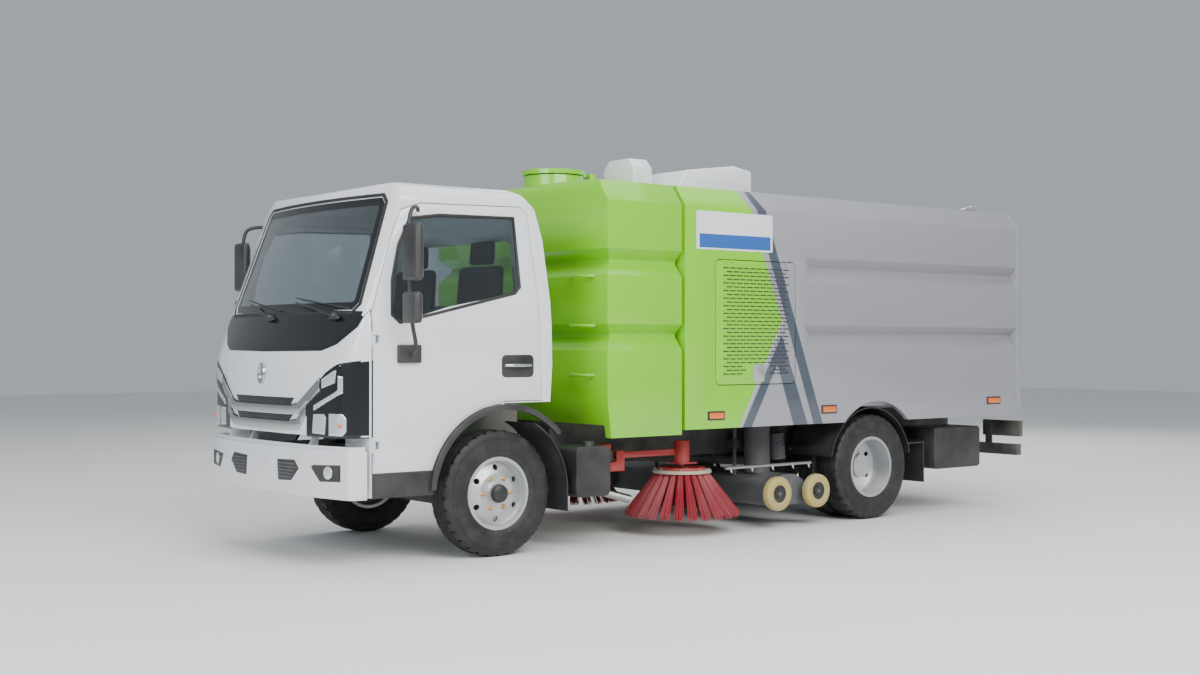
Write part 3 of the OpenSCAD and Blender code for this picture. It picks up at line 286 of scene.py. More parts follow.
def metal(name, colour, roughness=0.3, brushed=(1, 1, 1), wear=0.2):
    """Bare or plated metal; brushed stretches its scratches."""
    finish = Finish(name, colour, roughness, Metallic=1.0)
    scratches = finish.noise(160, 3, brushed)
    stains = finish.noise(9, 4)
    finish.plug("Base Color", finish.mix((stains - 0.4).most(0.0) * wear, rgb(*colour), DUST))
    finish.plug("Roughness", (scratches * 0.12 + stains * 0.15 + roughness - 0.1).least(0.9))
    finish.bump(scratches, 0.08, 0.0005)
    return finish


WHITE = (0.78, 0.80, 0.83)
LIME = (0.21, 0.62, 0.002)
GREY = (0.30, 0.30, 0.33)
DARK_GREY = (0.055, 0.07, 0.10)
white_paint = paint("white_paint", WHITE, 0.22, dust=0.35)
lime_paint = paint("lime_paint", LIME, 0.28, dust=0.3)
grey_paint = paint("grey_paint", GREY, 0.33, dust=0.3)
red_paint = paint("red_paint", (0.55, 0.01, 0.012), 0.35, dust=0.5)
chassis_black = plastic("chassis_black", (0.018, 0.019, 0.021), 0.45, 300, 0.3, 0.5)
cast_grey = plastic("cast_grey", (0.12, 0.12, 0.12), 0.6, 200, 0.5, 0.6)
# This black plastic finish also serves as painted shade: the louvre openings and the strips above the chrome
# bars.
black_plastic = plastic("black_plastic", (0.016, 0.017, 0.019), 0.42, dust=0.18)
grey_plastic = plastic("grey_plastic", (0.10, 0.105, 0.115), 0.6)
gloss_black = Finish("gloss_black", (0.006, 0.007, 0.009), 0.22, Coat_Weight=0.2)
chrome = metal("chrome", (0.56, 0.57, 0.58), 0.12, wear=0.05)
steel = metal("steel", (0.48, 0.48, 0.47), 0.32, (1, 8, 1))
silver_paint = metal("silver_paint", (0.62, 0.63, 0.64), 0.42, wear=0.35)
brass = metal("brass", (0.62, 0.42, 0.14), 0.3)
print("paints made", len(bpy.data.materials))

# %% [markdown]
# The hopper's colours are a cut vinyl film: lime in front, grey behind, and dark stripes that
# cross like a folded ribbon. Every border is a straight line on the side, so it can be
# written as a position along X that changes with height. The film is the same on both sides.

# %% Ribbon graphics
CHAMFER_Z = 2.229


def line(finish, low, high):
    """X of the straight border through two (x, z) points, at each height."""
    slope = (high[0] - low[0]) / (high[1] - low[1])
    return finish.place("Z") * slope + (low[0] - low[1] * slope)


def ribbon_colour(finish):
    x, z = finish.place("X"), finish.place("Z")
    soft = 0.004
    on_chamfer = z.above(CHAMFER_Z, 0.002)

    def behind(low, high):
        """1 where the surface is behind the border."""
        return (line(finish, low, high) - x).above(0, soft)

    apex, tip = (-0.303, 1.367), (-0.303, 1.46)
    green_low = behind((0.111, 0.722), tip)
    green_high = behind(tip, (-0.001, 2.236))
    lower = z.below(1.46, 0.002)
    beyond = green_low * lower + green_high * (1 - lower)
    beyond = beyond * (1 - on_chamfer) + behind((-0.001, 2.236), (0.039, 2.369)) * on_chamfer
    long_side = behind((-0.625, 0.726), (-0.062, 2.229)) - behind((-0.721, 0.722), (-0.145, 2.234))
    long_top = behind((-0.062, 2.229), (-0.029, 2.363)) - behind((-0.145, 2.234), (-0.084, 2.361))
    stripe = long_side * (1 - on_chamfer) + long_top * on_chamfer
    back_leg = behind((-0.422, 0.728), (-0.26, 1.157)) - behind((-0.566, 0.728), apex)
    front_leg = behind((0.078, 0.72), apex) - behind((-0.01, 0.722), (-0.26, 1.157))
    under_apex = z.below(1.367, soft)
    above_inner = z.above(1.157, soft)
    fill = behind((0.078, 0.72), apex) * (1 - behind((-0.566, 0.728), apex)) * above_inner
    legs = (back_leg.most(front_leg).most(0.0) * (1 - above_inner)).most(fill) * under_apex
    dark = stripe.most(legs)
    base = finish.mix(beyond, rgb(*LIME), rgb(*GREY))
    pale = (beyond - behind((0.089, 0.722), (-0.325, 1.46)) * lower).most(0.0) * lower
    base = finish.mix(pale * 0.6, base, rgb(0.5, 0.5, 0.56))
    return finish.mix(dark, base, rgb(*DARK_GREY))


ribbon_paint = paint("ribbon_paint", GREY, 0.3, dust=0.25, surface=ribbon_colour)
print("ribbon film made")

# %% [markdown]
# Rubber, glass and lamp lenses. A tyre is dull black with dust on its tread and a trace of
# sheen on its wall. Window glass lets light through with a slight green-grey tint. Lenses are
# clear or coloured plastic, bright because a reflector lies right behind them.

# %% Rubber, glass and lenses
tyre_rubber = Finish("tyre_rubber", (0.014, 0.014, 0.015), 0.6)
tyre_dirt = tyre_rubber.noise(14, 5)
tyre_rubber.plug("Base Color", tyre_rubber.mix((tyre_dirt - 0.42).most(0.0) * 0.5,
                                               rgb(0.014, 0.014, 0.015), rgb(0.16, 0.15, 0.13)))
tyre_rubber.plug("Roughness", tyre_dirt * 0.4 + 0.38)
tyre_rubber.bump(tyre_rubber.noise(260, 2), 0.2, 0.001)
soft_rubber = plastic("soft_rubber", (0.012, 0.012, 0.013), 0.55, 500, 0.15, 0.1)
cream_rubber = plastic("cream_rubber", (0.50, 0.40, 0.10), 0.6, 300, 0.3, 0.8)
window_glass = Finish("window_glass", (0.60, 0.68, 0.70), 0.02, Transmission_Weight=1.0, IOR=1.45,
                      Coat_Weight=0.4)
clear_lens = Finish("clear_lens", (0.75, 0.78, 0.80), 0.12, Metallic=0.55, Coat_Weight=1.0)
clear_lens.bump(clear_lens.noise(90, 0, (1, 6, 1)), 0.3, 0.003)
amber_lens = Finish("amber_lens", (0.80, 0.16, 0.02), 0.2, Coat_Weight=0.8)
amber_lens.bump(amber_lens.noise(200, 0), 0.3, 0.002)
red_lens = Finish("red_lens", (0.45, 0.015, 0.012), 0.2, Coat_Weight=0.8)
red_lens.bump(red_lens.noise(200, 0), 0.3, 0.002)
floor_finish = Finish("floor_finish", (0.80, 0.80, 0.79), 0.85)
floor_finish.plug("Base Color", floor_finish.mix(floor_finish.noise(0.4, 3), rgb(0.78, 0.78, 0.77),
                                                 rgb(0.84, 0.84, 0.83)))
floor.data.materials.append(floor_finish.material)
print("finishes", len(bpy.data.materials))

# %% [markdown]
# ## Modelling helpers
# Nearly every part is a pressed sheet, a moulding or a turned part. A pressed part is an
# outline that is extruded, a turned part is a profile that is spun, and a tube is a bent curve
# with thickness. Small rounded edges, made by a bevel, catch the light as real ones do.


# %% Selecting and finishing a piece
def edit_all():
    """Enters edit mode on the active piece with everything selected."""
    bpy.ops.object.mode_set(mode="EDIT")
    bpy.ops.mesh.select_all(action="SELECT")


def leave_edit():
    bpy.ops.object.mode_set(mode="OBJECT")


def only(piece):
    """Selects one piece and makes it active."""
    if bpy.context.mode != "OBJECT":
        leave_edit()
    bpy.ops.object.select_all(action="DESELECT")
    piece.select_set(True)
    bpy.context.view_layer.objects.active = piece
    return piece


def named(name):
    piece = bpy.context.object
    piece.name = piece.data.name = name
    return piece


def modify(piece, kind, **settings):
    """Adds a modifier and applies it."""
    only(piece)
    modifier = piece.modifiers.new(kind, kind)
    for key, value in settings.items():
        setattr(modifier, key, value)
    bpy.ops.object.modifier_apply(modifier=modifier.name)
    return piece


def rounded(piece, width, segments=2, angle=30):
    return modify(piece, "BEVEL", width=width, segments=segments, limit_method="ANGLE",
                  angle_limit=math.radians(angle), use_clamp_overlap=True, harden_normals=False)


def cleaned(piece, merge=0.00005):
    only(piece)
    edit_all()
    bpy.ops.mesh.remove_doubles(threshold=merge)
    bpy.ops.mesh.normals_make_consistent(inside=False)
    leave_edit()
    return piece


def finished(piece, body, finish, replaces=(), angle=35):
    """Puts a piece's place in its mesh, smooths it, and lets it ride on its body."""
    only(piece)
    bpy.ops.object.transform_apply(location=True, rotation=True, scale=True)
    bpy.ops.object.shade_smooth_by_angle(angle=math.radians(angle))
    piece.data.materials.clear()
    piece.data.materials.append(finish.material)
    if replaces:
        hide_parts(*replaces)
    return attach(piece, body)


def joined(pieces, name):
    only(pieces[0])
    for piece in pieces[1:]:
        piece.select_set(True)
    if len(pieces) > 1:
        bpy.ops.object.join()
    return named(name)


def flipped(piece, name):
    """A mirrored copy, with its own mesh, for the truck's right side."""
    only(piece)
    bpy.ops.object.duplicate()
    copy = named(name)
    edit_all()
    bpy.ops.transform.mirror(constraint_axis=(False, True, False), center_override=(0, 0, 0))
    bpy.ops.mesh.flip_normals()
    leave_edit()
    return copy


# %% Outlines, turnings and tubes
def thickened(along):
    """Extrudes the whole active piece into a closed solid."""
    edit_all()
    bpy.ops.mesh.extrude_region_move(TRANSFORM_OT_translate={"value": along})
    bpy.ops.mesh.select_all(action="SELECT")
    bpy.ops.mesh.normals_make_consistent(inside=False)
    leave_edit()


PLANES = {"XZ": lambda a, b, d: (a, d, b), "YZ": lambda a, b, d: (d, a, b),
          "XY": lambda a, b, d: (a, b, d)}


def slab(name, outline, plane, near, far, round_by=0.003, segments=2):
    """A closed outline, extruded between two depths, with rounded edges."""
    bpy.ops.mesh.primitive_circle_add(vertices=len(outline), fill_type="NGON", radius=1)
    piece = named(name)
    for vertex, (a, b) in zip(piece.data.vertices, outline):
        vertex.co = PLANES[plane](a, b, near)
    along = Vector(PLANES[plane](0, 0, far - near))
    thickened(along)
    return rounded(piece, round_by, segments) if round_by else piece


def block(name, low, high, round_by=0.003, segments=2):
    """A box between two corners, with rounded edges."""
    outline = [(low[0], low[1]), (high[0], low[1]), (high[0], high[1]), (low[0], high[1])]
    return slab(name, outline, "XY", low[2], high[2], round_by, segments)


def soft_corners(low, high, radius, steps=4):
    """Outline of a rectangle with round corners."""
    corners = [(high[0] - radius, high[1] - radius, 0), (low[0] + radius, high[1] - radius, 90),
               (low[0] + radius, low[1] + radius, 180), (high[0] - radius, low[1] + radius, 270)]
    return [(x + radius * math.cos(math.radians(start + 90 * k / steps)),
             y + radius * math.sin(math.radians(start + 90 * k / steps)))
            for x, y, start in corners for k in range(steps + 1)]


def turned(name, profile, centre, axis, steps=48):
    """A profile of (radius, along) points, spun round an axis."""
    bpy.ops.mesh.primitive_circle_add(vertices=len(profile), fill_type="NOTHING", radius=1)
    piece = named(name)
    for vertex, (radius, along) in zip(piece.data.vertices, profile):
        vertex.co = (max(radius, 0), 0, along)
    edit_all()
    bpy.ops.mesh.spin(steps=steps, angle=math.tau, center=(0, 0, 0), axis=(0, 0, 1))
    bpy.ops.mesh.select_all(action="SELECT")
    bpy.ops.mesh.remove_doubles(threshold=0.00003)
    bpy.ops.mesh.normals_make_consistent(inside=False)
    leave_edit()
    turn = Vector((0, 0, 1)).rotation_difference(Vector(axis)).to_matrix().to_4x4()
    piece.data.transform(Matrix.Translation(centre) @ turn)
    return piece


def tube(name, points, radius, smooth=True, sides=5, cyclic=False):
    """A round bar or hose along a route."""
    curve = bpy.data.curves.new(name, "CURVE")
    curve.dimensions, curve.bevel_depth, curve.bevel_resolution = "3D", radius, sides
    curve.use_fill_caps, curve.resolution_u = True, 6
    spline = curve.splines.new("NURBS" if smooth else "POLY")
    spline.points.add(len(points) - 1)
    for point, place in zip(spline.points, points):
        point.co = (*place, 1)
    spline.use_cyclic_u = cyclic
    if smooth:
        spline.use_endpoint_u, spline.order_u = not cyclic, 3
    piece = bpy.data.objects.new(name, curve)
    bpy.context.scene.collection.objects.link(piece)
    only(piece)
    bpy.ops.object.convert(target="MESH")
    return cleaned(named(name), 0.00002)


def ring_of(piece, count, centre, axis, name, start=0.0):
    """Copies of a piece turned round an axis, joined."""
    copies = [piece]
    for k in range(1, count):
        only(piece)
        bpy.ops.object.duplicate()
        copy = bpy.context.object
        turn = Matrix.Rotation(math.tau * k / count, 4, Vector(axis))
        copy.data.transform(Matrix.Translation(centre) @ turn @ Matrix.Translation(-Vector(centre)))
        copies.append(copy)
    return joined(copies, name)


def shifted_copies(piece, shifts, name):
    """Copies of a piece moved by each shift, joined with it."""
    copies = [piece]
    for shift in shifts:
        only(piece)
        bpy.ops.object.duplicate()
        bpy.context.object.data.transform(Matrix.Translation(shift))
        copies.append(bpy.context.object)
    return joined(copies, name)


print("modelling helpers ready")

# %% [markdown]
# ## Rounded copies of the CAD parts
# CAD solids have knife edges, and real sheet metal doesn't. A copy of each part that shows is
# merged, its flat faces are joined again, and its edges are bevelled by the radius that its
# process leaves: large on moulded and pressed parts, small on cut and welded steel.


# %% Soften the CAD parts
def softened(node, finish, width, segments=2, angle=35, planar=1.0):
    source = frame["nodes"][node]
    only(source)
    bpy.ops.object.duplicate()
    piece = named(node + ".look")
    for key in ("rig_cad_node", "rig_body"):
        if key in piece:
            del piece[key]
    body = source["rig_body"]
    world = piece.matrix_world.copy()
    piece.parent = None
    piece.matrix_world = world
    edit_all()
    bpy.ops.mesh.remove_doubles(threshold=0.00002)
    bpy.ops.mesh.dissolve_limited(angle_limit=math.radians(planar))
    leave_edit()
    rounded(piece, width, segments, angle)
    return finished(piece, body, finish, [node])


SOFT_PARTS = [
    ("cab_shell", white_paint, "white_paint", 0.008, 3),
    ("left_door", white_paint, "white_paint", 0.004, 2),
    ("right_door", white_paint, "white_paint", 0.004, 2),
    ("front_bumper", white_paint, "white_paint", 0.010, 3),
    ("dashboard", grey_plastic, "grey_plastic", 0.015, 3),
    ("water_tank", lime_paint, "green_paint", 0.008, 3),
    ("hopper", ribbon_paint, "grey_paint", 0.007, 3),
    ("tailgate", grey_paint, "grey_paint", 0.006, 2),
    ("roof_hoods", white_paint, "white_paint", 0.012, 3),
    ("fuel_tank", black_plastic, "black_plastic", 0.012, 3),
    ("battery_box", black_plastic, "black_plastic", 0.010, 2),
    ("mudguards", black_plastic, "black_plastic", 0.002, 1),
    ("tail_bar", chassis_black, "chassis_black", 0.005, 2),
    ("suction_nozzle", grey_plastic, "grey_plastic", 0.004, 2),
    ("left_brush_post", red_paint, "red_paint", 0.004, 2),
    ("right_brush_post", red_paint, "red_paint", 0.004, 2),
    ("left_brush_arm", red_paint, "red_paint", 0.004, 2),
    ("right_brush_arm", red_paint, "red_paint", 0.004, 2),
]
for node, finish, slot, width, segments in SOFT_PARTS:
    piece = softened(node, finish, width, segments)
    print(node, len(piece.data.polygons), "faces")

# %% [markdown]
# The parts that hardly show keep their CAD shape and only get a finish.

# %% Finish the plain CAD parts
PLAIN_PARTS = {
    chassis_black: "chassis_frame subframe front_axle rear_axle leaf_springs",
    cast_grey: "engine auxiliary_engine left_knuckle right_knuckle",
    window_glass: "cab_glass left_door_glass right_door_glass",
    silver_paint: "front_left_rim front_right_rim rear_left_rims rear_right_rims",
    steel: "exhaust", grey_paint: "lift_barrels", chrome: "lift_rods",
    black_plastic: "steering_wheel", lime_paint: "tank_lid",
}
for finish, nodes in PLAIN_PARTS.items():
    for node in nodes.split():
        mesh = frame["nodes"][node].data
        mesh.materials.clear()
        mesh.materials.append(finish.material)
print("plain parts", len(PLAIN_PARTS))

# %% [markdown]
# ## Tyres
# A light truck's road tyre has straight ribs with zigzag grooves, shoulder blocks cut by short
# cross grooves, and a plain wall with a few raised rings. Its profile is spun, the grooves are
# faces of that spin pushed in, and every second shoulder face is pushed in for a cross groove.

# %% Model a tyre
TYRE_R = 0.387
BORE = 0.214
HALF = 0.099
TREAD_STEPS = 132
GROOVE_DEPTH = 0.007
ZIGZAG = 0.003


def tyre_profile():
    """Anticlockwise (radius, along) points of half the tyre, outside half first."""
    wall = [(BORE, HALF - 0.026), (BORE + 0.012, HALF - 0.014), (BORE + 0.03, HALF - 0.005),
            (BORE + 0.042, HALF - 0.003), (BORE + 0.044, HALF - 0.0008), (BORE + 0.05, HALF - 0.0008),
            (BORE + 0.052, HALF - 0.003), (BORE + 0.075, HALF - 0.0005), (BORE + 0.10, HALF - 0.001),
            (BORE + 0.118, HALF - 0.004), (BORE + 0.120, HALF - 0.0015), (BORE + 0.126, HALF - 0.003),
            (BORE + 0.128, HALF - 0.0065), (TYRE_R - 0.030, HALF - 0.010), (TYRE_R - 0.012, HALF - 0.016),
            (TYRE_R - 0.003, HALF - 0.024), (TYRE_R, HALF - 0.045), (TYRE_R, 0.046), (TYRE_R - 0.011, 0.044),
            (TYRE_R - 0.011, 0.037), (TYRE_R, 0.035), (TYRE_R, 0.017), (TYRE_R - 0.011, 0.015),
            (TYRE_R - 0.011, 0.008), (TYRE_R, 0.006)]
    return wall + [(r, -a) for r, a in reversed(wall)]


def tread_tyre(name, centre):
    piece = turned(name, tyre_profile(), (0, 0, 0), (0, 0, 1), TREAD_STEPS)
    mesh = piece.data
    for vertex in mesh.vertices:
        x, y, along = vertex.co
        radius = math.hypot(x, y)
        if abs(along) < 0.05 and radius > TYRE_R - 0.02:
            turn = math.atan2(y, x)
            step = round(turn / math.tau * TREAD_STEPS)
            vertex.co.z += ZIGZAG if step % 4 < 2 else -ZIGZAG
    only(piece)
    bpy.ops.object.mode_set(mode="EDIT")
    bpy.ops.mesh.select_mode(type="FACE")
    bpy.ops.mesh.select_all(action="DESELECT")
    leave_edit()
    for face in mesh.polygons:
        x, y, along = face.center
        step = math.floor(math.atan2(y, x) / math.tau * TREAD_STEPS)
        face.select = step % 4 == 0 and math.hypot(x, y) > TYRE_R - 0.012 and abs(along) > 0.055
    bpy.ops.object.mode_set(mode="EDIT")
    bpy.ops.mesh.extrude_region_shrink_fatten(TRANSFORM_OT_shrink_fatten={"value": -GROOVE_DEPTH})
    bpy.ops.mesh.select_mode(type="VERT")
    leave_edit()
    turn = Vector((0, 0, 1)).rotation_difference(Vector((0, 1, 0))).to_matrix().to_4x4()
    mesh.transform(Matrix.Translation(centre) @ turn)
    return piece


for node, body, side, places in [
        ("front_left_tyre", "front_left_wheel", 1, [(FRONT_AXLE, 0.785)]),
        ("front_right_tyre", "front_right_wheel", -1, [(FRONT_AXLE, 0.785)]),
        ("rear_left_tyres", "rear_left_wheels", 1, [(REAR_AXLE, 0.860), (REAR_AXLE, 0.635)]),
        ("rear_right_tyres", "rear_right_wheels", -1, [(REAR_AXLE, 0.860), (REAR_AXLE, 0.635)])]:
    made = [tread_tyre(node + ".part", (x, side * y, AXLE_Z)) for x, y in places]
    piece = finished(joined(made, node + ".look"), body, tyre_rubber, [node], 30)
    print(node, len(piece.data.polygons), "faces")

# %% [markdown]
# ## The cab's bowed front
# The nose is a sheet that bows from side to side, leans back under the windscreen and turns
# round two corners. Trim on it has to follow, so one function gives the front surface at each
# height and side position, and flat trim is cut into narrow strips and laid on it.


# %% Lay trim on the front
BOW = 4.18
LEAN = math.atan2(0.274, 0.747)
SCREEN_FOOT = (FRONT_AXLE + 1.042, 1.483)
NOSE_LINE = [(0.60, 1.152), (0.90, 1.152), (1.06, 1.152), (1.27, 1.130), (1.39, 1.092), (1.483, 1.042),
             (2.23, 0.768), (2.30, 0.70)]


def between(table, key):
    for (low, a), (high, b) in zip(table, table[1:]):
        if low <= key <= high:
            return a + (b - a) * (key - low) / (high - low)
    return table[-1][1]


def bow_depth(y, corner, half):
    """How far a bowed slab's front falls back at a distance from the middle."""
    y = min(abs(y), half - 0.0005)
    bow = BOW - math.sqrt(BOW ** 2 - y ** 2)
    if y <= half - corner:
        return bow
    back = BOW - math.sqrt((BOW - corner) ** 2 - (half - corner) ** 2) - 0.005
    return max(bow, back - math.sqrt(max(corner ** 2 - (y - half + corner) ** 2, 0)))


def nose(y, z):
    """X of the cab's front surface."""
    upright = 1.152 - bow_depth(y, 0.19, CAB_HALF)
    fall = -bow_depth(y, 0.09, CAB_HALF)
    up = (z - SCREEN_FOOT[1] - fall * math.sin(LEAN)) / math.cos(LEAN)
    leaning = SCREEN_FOOT[0] - FRONT_AXLE + fall * math.cos(LEAN) - up * math.sin(LEAN)
    return FRONT_AXLE + min(upright, leaning, between(NOSE_LINE, z))


def front_trim(name, outline, proud, thickness, round_by=0.002, step=0.05, surface=nose, segments=2):
    """A (y, z) outline laid on the front, its face standing proud of the paint."""
    bpy.ops.mesh.primitive_circle_add(vertices=len(outline), fill_type="NGON", radius=1)
    piece = named(name)
    for vertex, (y, z) in zip(piece.data.vertices, outline):
        vertex.co = (0, y, z)
    bpy.ops.object.mode_set(mode="EDIT")
    for axis, values in ((1, [p[0] for p in outline]), (2, [p[1] for p in outline])):
        low, high = min(values), max(values)
        for k in range(1, max(1, math.ceil((high - low) / step))):
            place, normal = [0, 0, 0], [0, 0, 0]
            place[axis] = low + k * (high - low) / math.ceil((high - low) / step)
            normal[axis] = 1
            bpy.ops.mesh.select_all(action="SELECT")
            bpy.ops.mesh.bisect(plane_co=place, plane_no=normal)
    leave_edit()
    for vertex in piece.data.vertices:
        vertex.co.x = surface(vertex.co.y, vertex.co.z) + proud
    only(piece)
    thickened((-thickness, 0, 0))
    return rounded(piece, round_by, segments, 50) if round_by else piece


def band(line, width_at):
    """An outline between a (y, z) line and the same line lowered by its widths."""
    return line + [(y, z - w) for (y, z), w in reversed(list(zip(line, width_at)))]


print("front of the cab at", round(nose(0, 1.0), 4), round(nose(0.9, 1.0), 4))

# %% [markdown]
# Under the windscreen lies a gloss black panel with an upswept lower edge. Below it two black
# slots are crossed by chromed bars that rise outwards into the headlamps.

# %% Panel, grille and chrome bars
panel = [(-0.905, 1.49), (-0.87, 1.40), (-0.74, 1.30), (-0.62, 1.262), (0, 1.256), (0.62, 1.262),
         (0.74, 1.30), (0.87, 1.40), (0.905, 1.49), (0.45, 1.505), (-0.45, 1.505)]
piece = front_trim("screen_panel", list(reversed(panel)), 0.003, 0.012)
finished(piece, "cab", gloss_black)
for count, (top, half_top, half_low, height) in enumerate([(0.985, 0.395, 0.35, 0.048),
                                                           (0.897, 0.392, 0.34, 0.052)]):
    slot = [(-half_top, top), (-half_low, top - height), (half_low, top - height), (half_top, top)]
    mouth = front_trim(f"grille_slot_{count}", slot, 0.0015, 0.02, 0.001)
    finished(mouth, "cab", black_plastic)
    slats = []
    for k in range(4):
        z = top - height * (k + 0.7) / 4.4
        slats.append(front_trim("slat", [(-half_low, z), (half_low, z), (half_low, z + 0.003),
                                         (-half_low, z + 0.003)],
                                0.005, 0.008, 0.0008))
    finished(joined(slats, f"grille_slats_{count}"), "cab", gloss_black)
chromes = []
for top, reach, rise, thick in [(0.937, 0.655, 0.158, 0.030), (0.845, 0.525, 0.108, 0.030)]:
    for sign in (1, -1):
        low = top - thick
        wing = [(0, top), (0.37, top), (0.43, top + 0.012), (reach, top + rise), (reach, top + rise - 0.068),
                (0.45, low - 0.012), (0.37, low - 0.022), (0, low - 0.022)]
        wing = [(sign * y, z) for y, z in wing]
        chromes.append(front_trim("bar", wing if sign < 0 else wing[::-1], 0.012, 0.016, 0.004))
bars = finished(joined(chromes, "chrome_bars"), "cab", chrome)
# A thin black strip just above each chrome bar is painted shadow.
lines = []
for top, reach, rise in [(0.945, 0.655, 0.158), (0.853, 0.525, 0.108)]:
    for sign in (1, -1):
        line_points = [(sign * y, z) for y, z in [(0.36, top), (0.44, top + 0.014),
                                                  (reach, top + rise + 0.004)]]
        lines.append(front_trim("line", band(line_points, [0.012, 0.012, 0.014]), 0.006, 0.008, 0.001))
finished(joined(lines, "bar_shadows"), "cab", black_plastic)
print("bars", len(bars.data.polygons), "faces")

# %% [markdown]
# The badge is a plain chromed oval with a raised rim and no mark on it.

# %% Plain badge
badge = turned("badge", [(0, 0.004), (0.024, 0.004), (0.030, 0.002), (0.034, 0.011), (0.040, 0.013),
                         (0.045, 0.009),
                         (0.046, -0.004), (0, -0.004)], (0, 0, 0), (1, 0, 0), 40)
badge.data.transform(Matrix.Translation((nose(0, 1.12) + 0.004, 0, 1.12)) @ Matrix.Diagonal((1, 1, 1.45, 1)))
finished(badge, "cab", chrome)
print("badge on the nose")

# %% [markdown]
# ## Headlamps
# Each lamp unit is a black bowl; its clear cover is left out. Low down it holds a square headlight and a
# turn lamp with an amber bulb; above them a bright daytime strip bends up and outward.

# %% Headlamp units
UNIT = [(0.523, 0.762), (0.9295, 0.762), (0.9295, 1.21), (0.80, 1.186), (0.70, 1.135), (0.655, 1.10),
        (0.655, 1.03), (0.523, 0.955)]


def lamp_unit(sign):
    side = "left" if sign > 0 else "right"
    outline = [(sign * y, z) for y, z in UNIT]
    bowl = front_trim(side + "_lamp_bowl", outline if sign > 0 else outline[::-1], 0.002, 0.02, 0.003, 0.02)
    made = [finished(bowl, "cab", gloss_black, ["headlamps"] if sign > 0 else [])]
    lights = []
    for shape in ([(0.588, 0.785), (0.70, 0.780), (0.712, 0.88), (0.69, 0.898), (0.60, 0.895)],
                  [(0.742, 0.775), (0.845, 0.775), (0.862, 0.80), (0.862, 0.875), (0.845, 0.902),
                   (0.742, 0.902)]):
        shape = [(sign * y, z) for y, z in shape]
        lights.append(front_trim("light", shape if sign > 0 else shape[::-1], 0.009, 0.01, 0.006, 0.015,
                                 segments=3))
    strips = [[(0.60, 0.915), (0.80, 1.000), (0.845, 1.020), (0.845, 1.115), (0.82, 1.12), (0.82, 1.04),
               (0.79, 1.022), (0.60, 0.945)],
              [(0.675, 1.045), (0.79, 1.078), (0.80, 1.152), (0.775, 1.145), (0.675, 1.098)]]
    for shape in strips:
        shape = [(sign * y, z) for y, z in shape]
        lights.append(front_trim("strip", shape if sign > 0 else shape[::-1], 0.008, 0.009, 0.003, 0.02))
    made.append(finished(joined(lights, side + "_lights"), "cab", clear_lens))
    y, z = sign * 0.835, 0.835
    bulb = turned(side + "_bulb", [(0, 0.018), (0.009, 0.015), (0.013, 0.006), (0.013, -0.004), (0, -0.004)],
                  (nose(y, z) + 0.004, y, z), (1, 0, 0), 16)
    made.append(finished(bulb, "cab", amber_lens))
    return made


for sign in (1, -1):
    print("lamp pieces", len(lamp_unit(sign)))

# %% [markdown]
# ## Windscreen and wipers
# A wide black band is printed round the windscreen's edge, and a rubber seal covers the joint
# with the body. Two wipers rest on the foot of the glass: each has a round housing, a tapered
# arm and a thin blade.

# %% Windscreen band and wipers
SCREEN = [(-0.770, 1.500), (0.770, 1.500), (0.812, 1.540), (0.755, 2.130), (0.715, 2.168), (-0.715, 2.168),
          (-0.755, 2.130), (-0.812, 1.540)]


def inset_outline(outline, distance):
    """The outline of a convex shape moved inwards (or out, if negative)."""
    moved = []
    for k, point in enumerate(outline):
        before, after = outline[k - 1], outline[(k + 1) % len(outline)]
        first = Vector((point[0] - before[0], point[1] - before[1])).normalized()
        second = Vector((after[0] - point[0], after[1] - point[1])).normalized()
        normal = Vector((-first.y, first.x)) + Vector((-second.y, second.x))
        moved.append(tuple(Vector(point) + normal * (2 * distance / normal.length_squared)))
    return moved


def frame_trim(name, outer, inner, proud, thickness, surface=nose, step=0.06, round_by=0.001):
    """A closed band between two outlines with the same number of corners."""
    strips = []
    for k in range(len(outer)):
        j = (k + 1) % len(outer)
        strips.append(front_trim("strip", [outer[k], outer[j], inner[j], inner[k]], proud, thickness, 0,
                                 step, surface))
    return cleaned(joined(strips, name), 0.0001)


band_piece = frame_trim("screen_band", inset_outline(SCREEN, -0.018), inset_outline(SCREEN, 0.045),
                        -0.0035, 0.004)
finished(band_piece, "cab", gloss_black)
seal = frame_trim("screen_seal", inset_outline(SCREEN, -0.026), inset_outline(SCREEN, -0.006), 0.004, 0.01)
finished(seal, "cab", soft_rubber)


def wiper(y, reach):
    z = 1.462
    root = Vector((nose(y, z) + 0.02, y, z))
    tip = Vector((nose(y - reach, z + 0.085) + 0.030, y - reach, z + 0.085))
    parts = [turned("hub", [(0, 0.026), (0.014, 0.024), (0.020, 0.014), (0.022, -0.01), (0, -0.01)], root,
                    (0.94, 0, 0.34), 20)]
    lower = root.lerp(tip, 0.45)
    parts.append(tube("arm", [root + Vector((0.014, 0, 0)), lower + Vector((0.008, 0, 0.012)), tip], 0.006,
                      True, 3))
    parts.append(tube("bracket", [root + Vector((0, -0.05, -0.008)), root + Vector((0.004, 0.05, -0.004))],
                      0.012, False, 3))
    blade_start = Vector((nose(y + 0.10, z + 0.045) + 0.012, y + 0.10, z + 0.045))
    blade_end = Vector((nose(y - 0.47, z + 0.118) + 0.012, y - 0.47, z + 0.118))
    middle = blade_start.lerp(blade_end, 0.5) + Vector((0.018, 0, 0))
    parts.append(tube("blade", [blade_start, middle, blade_end], 0.0045, True, 3))
    return parts


wipers = joined(wiper(0.66, 0.42) + wiper(-0.06, 0.34), "wipers")
finished(wipers, "cab", black_plastic)
print("wipers", len(wipers.data.polygons), "faces")

# %% [markdown]
# ## Bumper, handles and mirrors
# The bumper is a thick moulding, so its grilles and fog lamps are dark insets that follow its
# bow. Door handles sit in a black dish, and the mirrors hang on a bent steel tube.


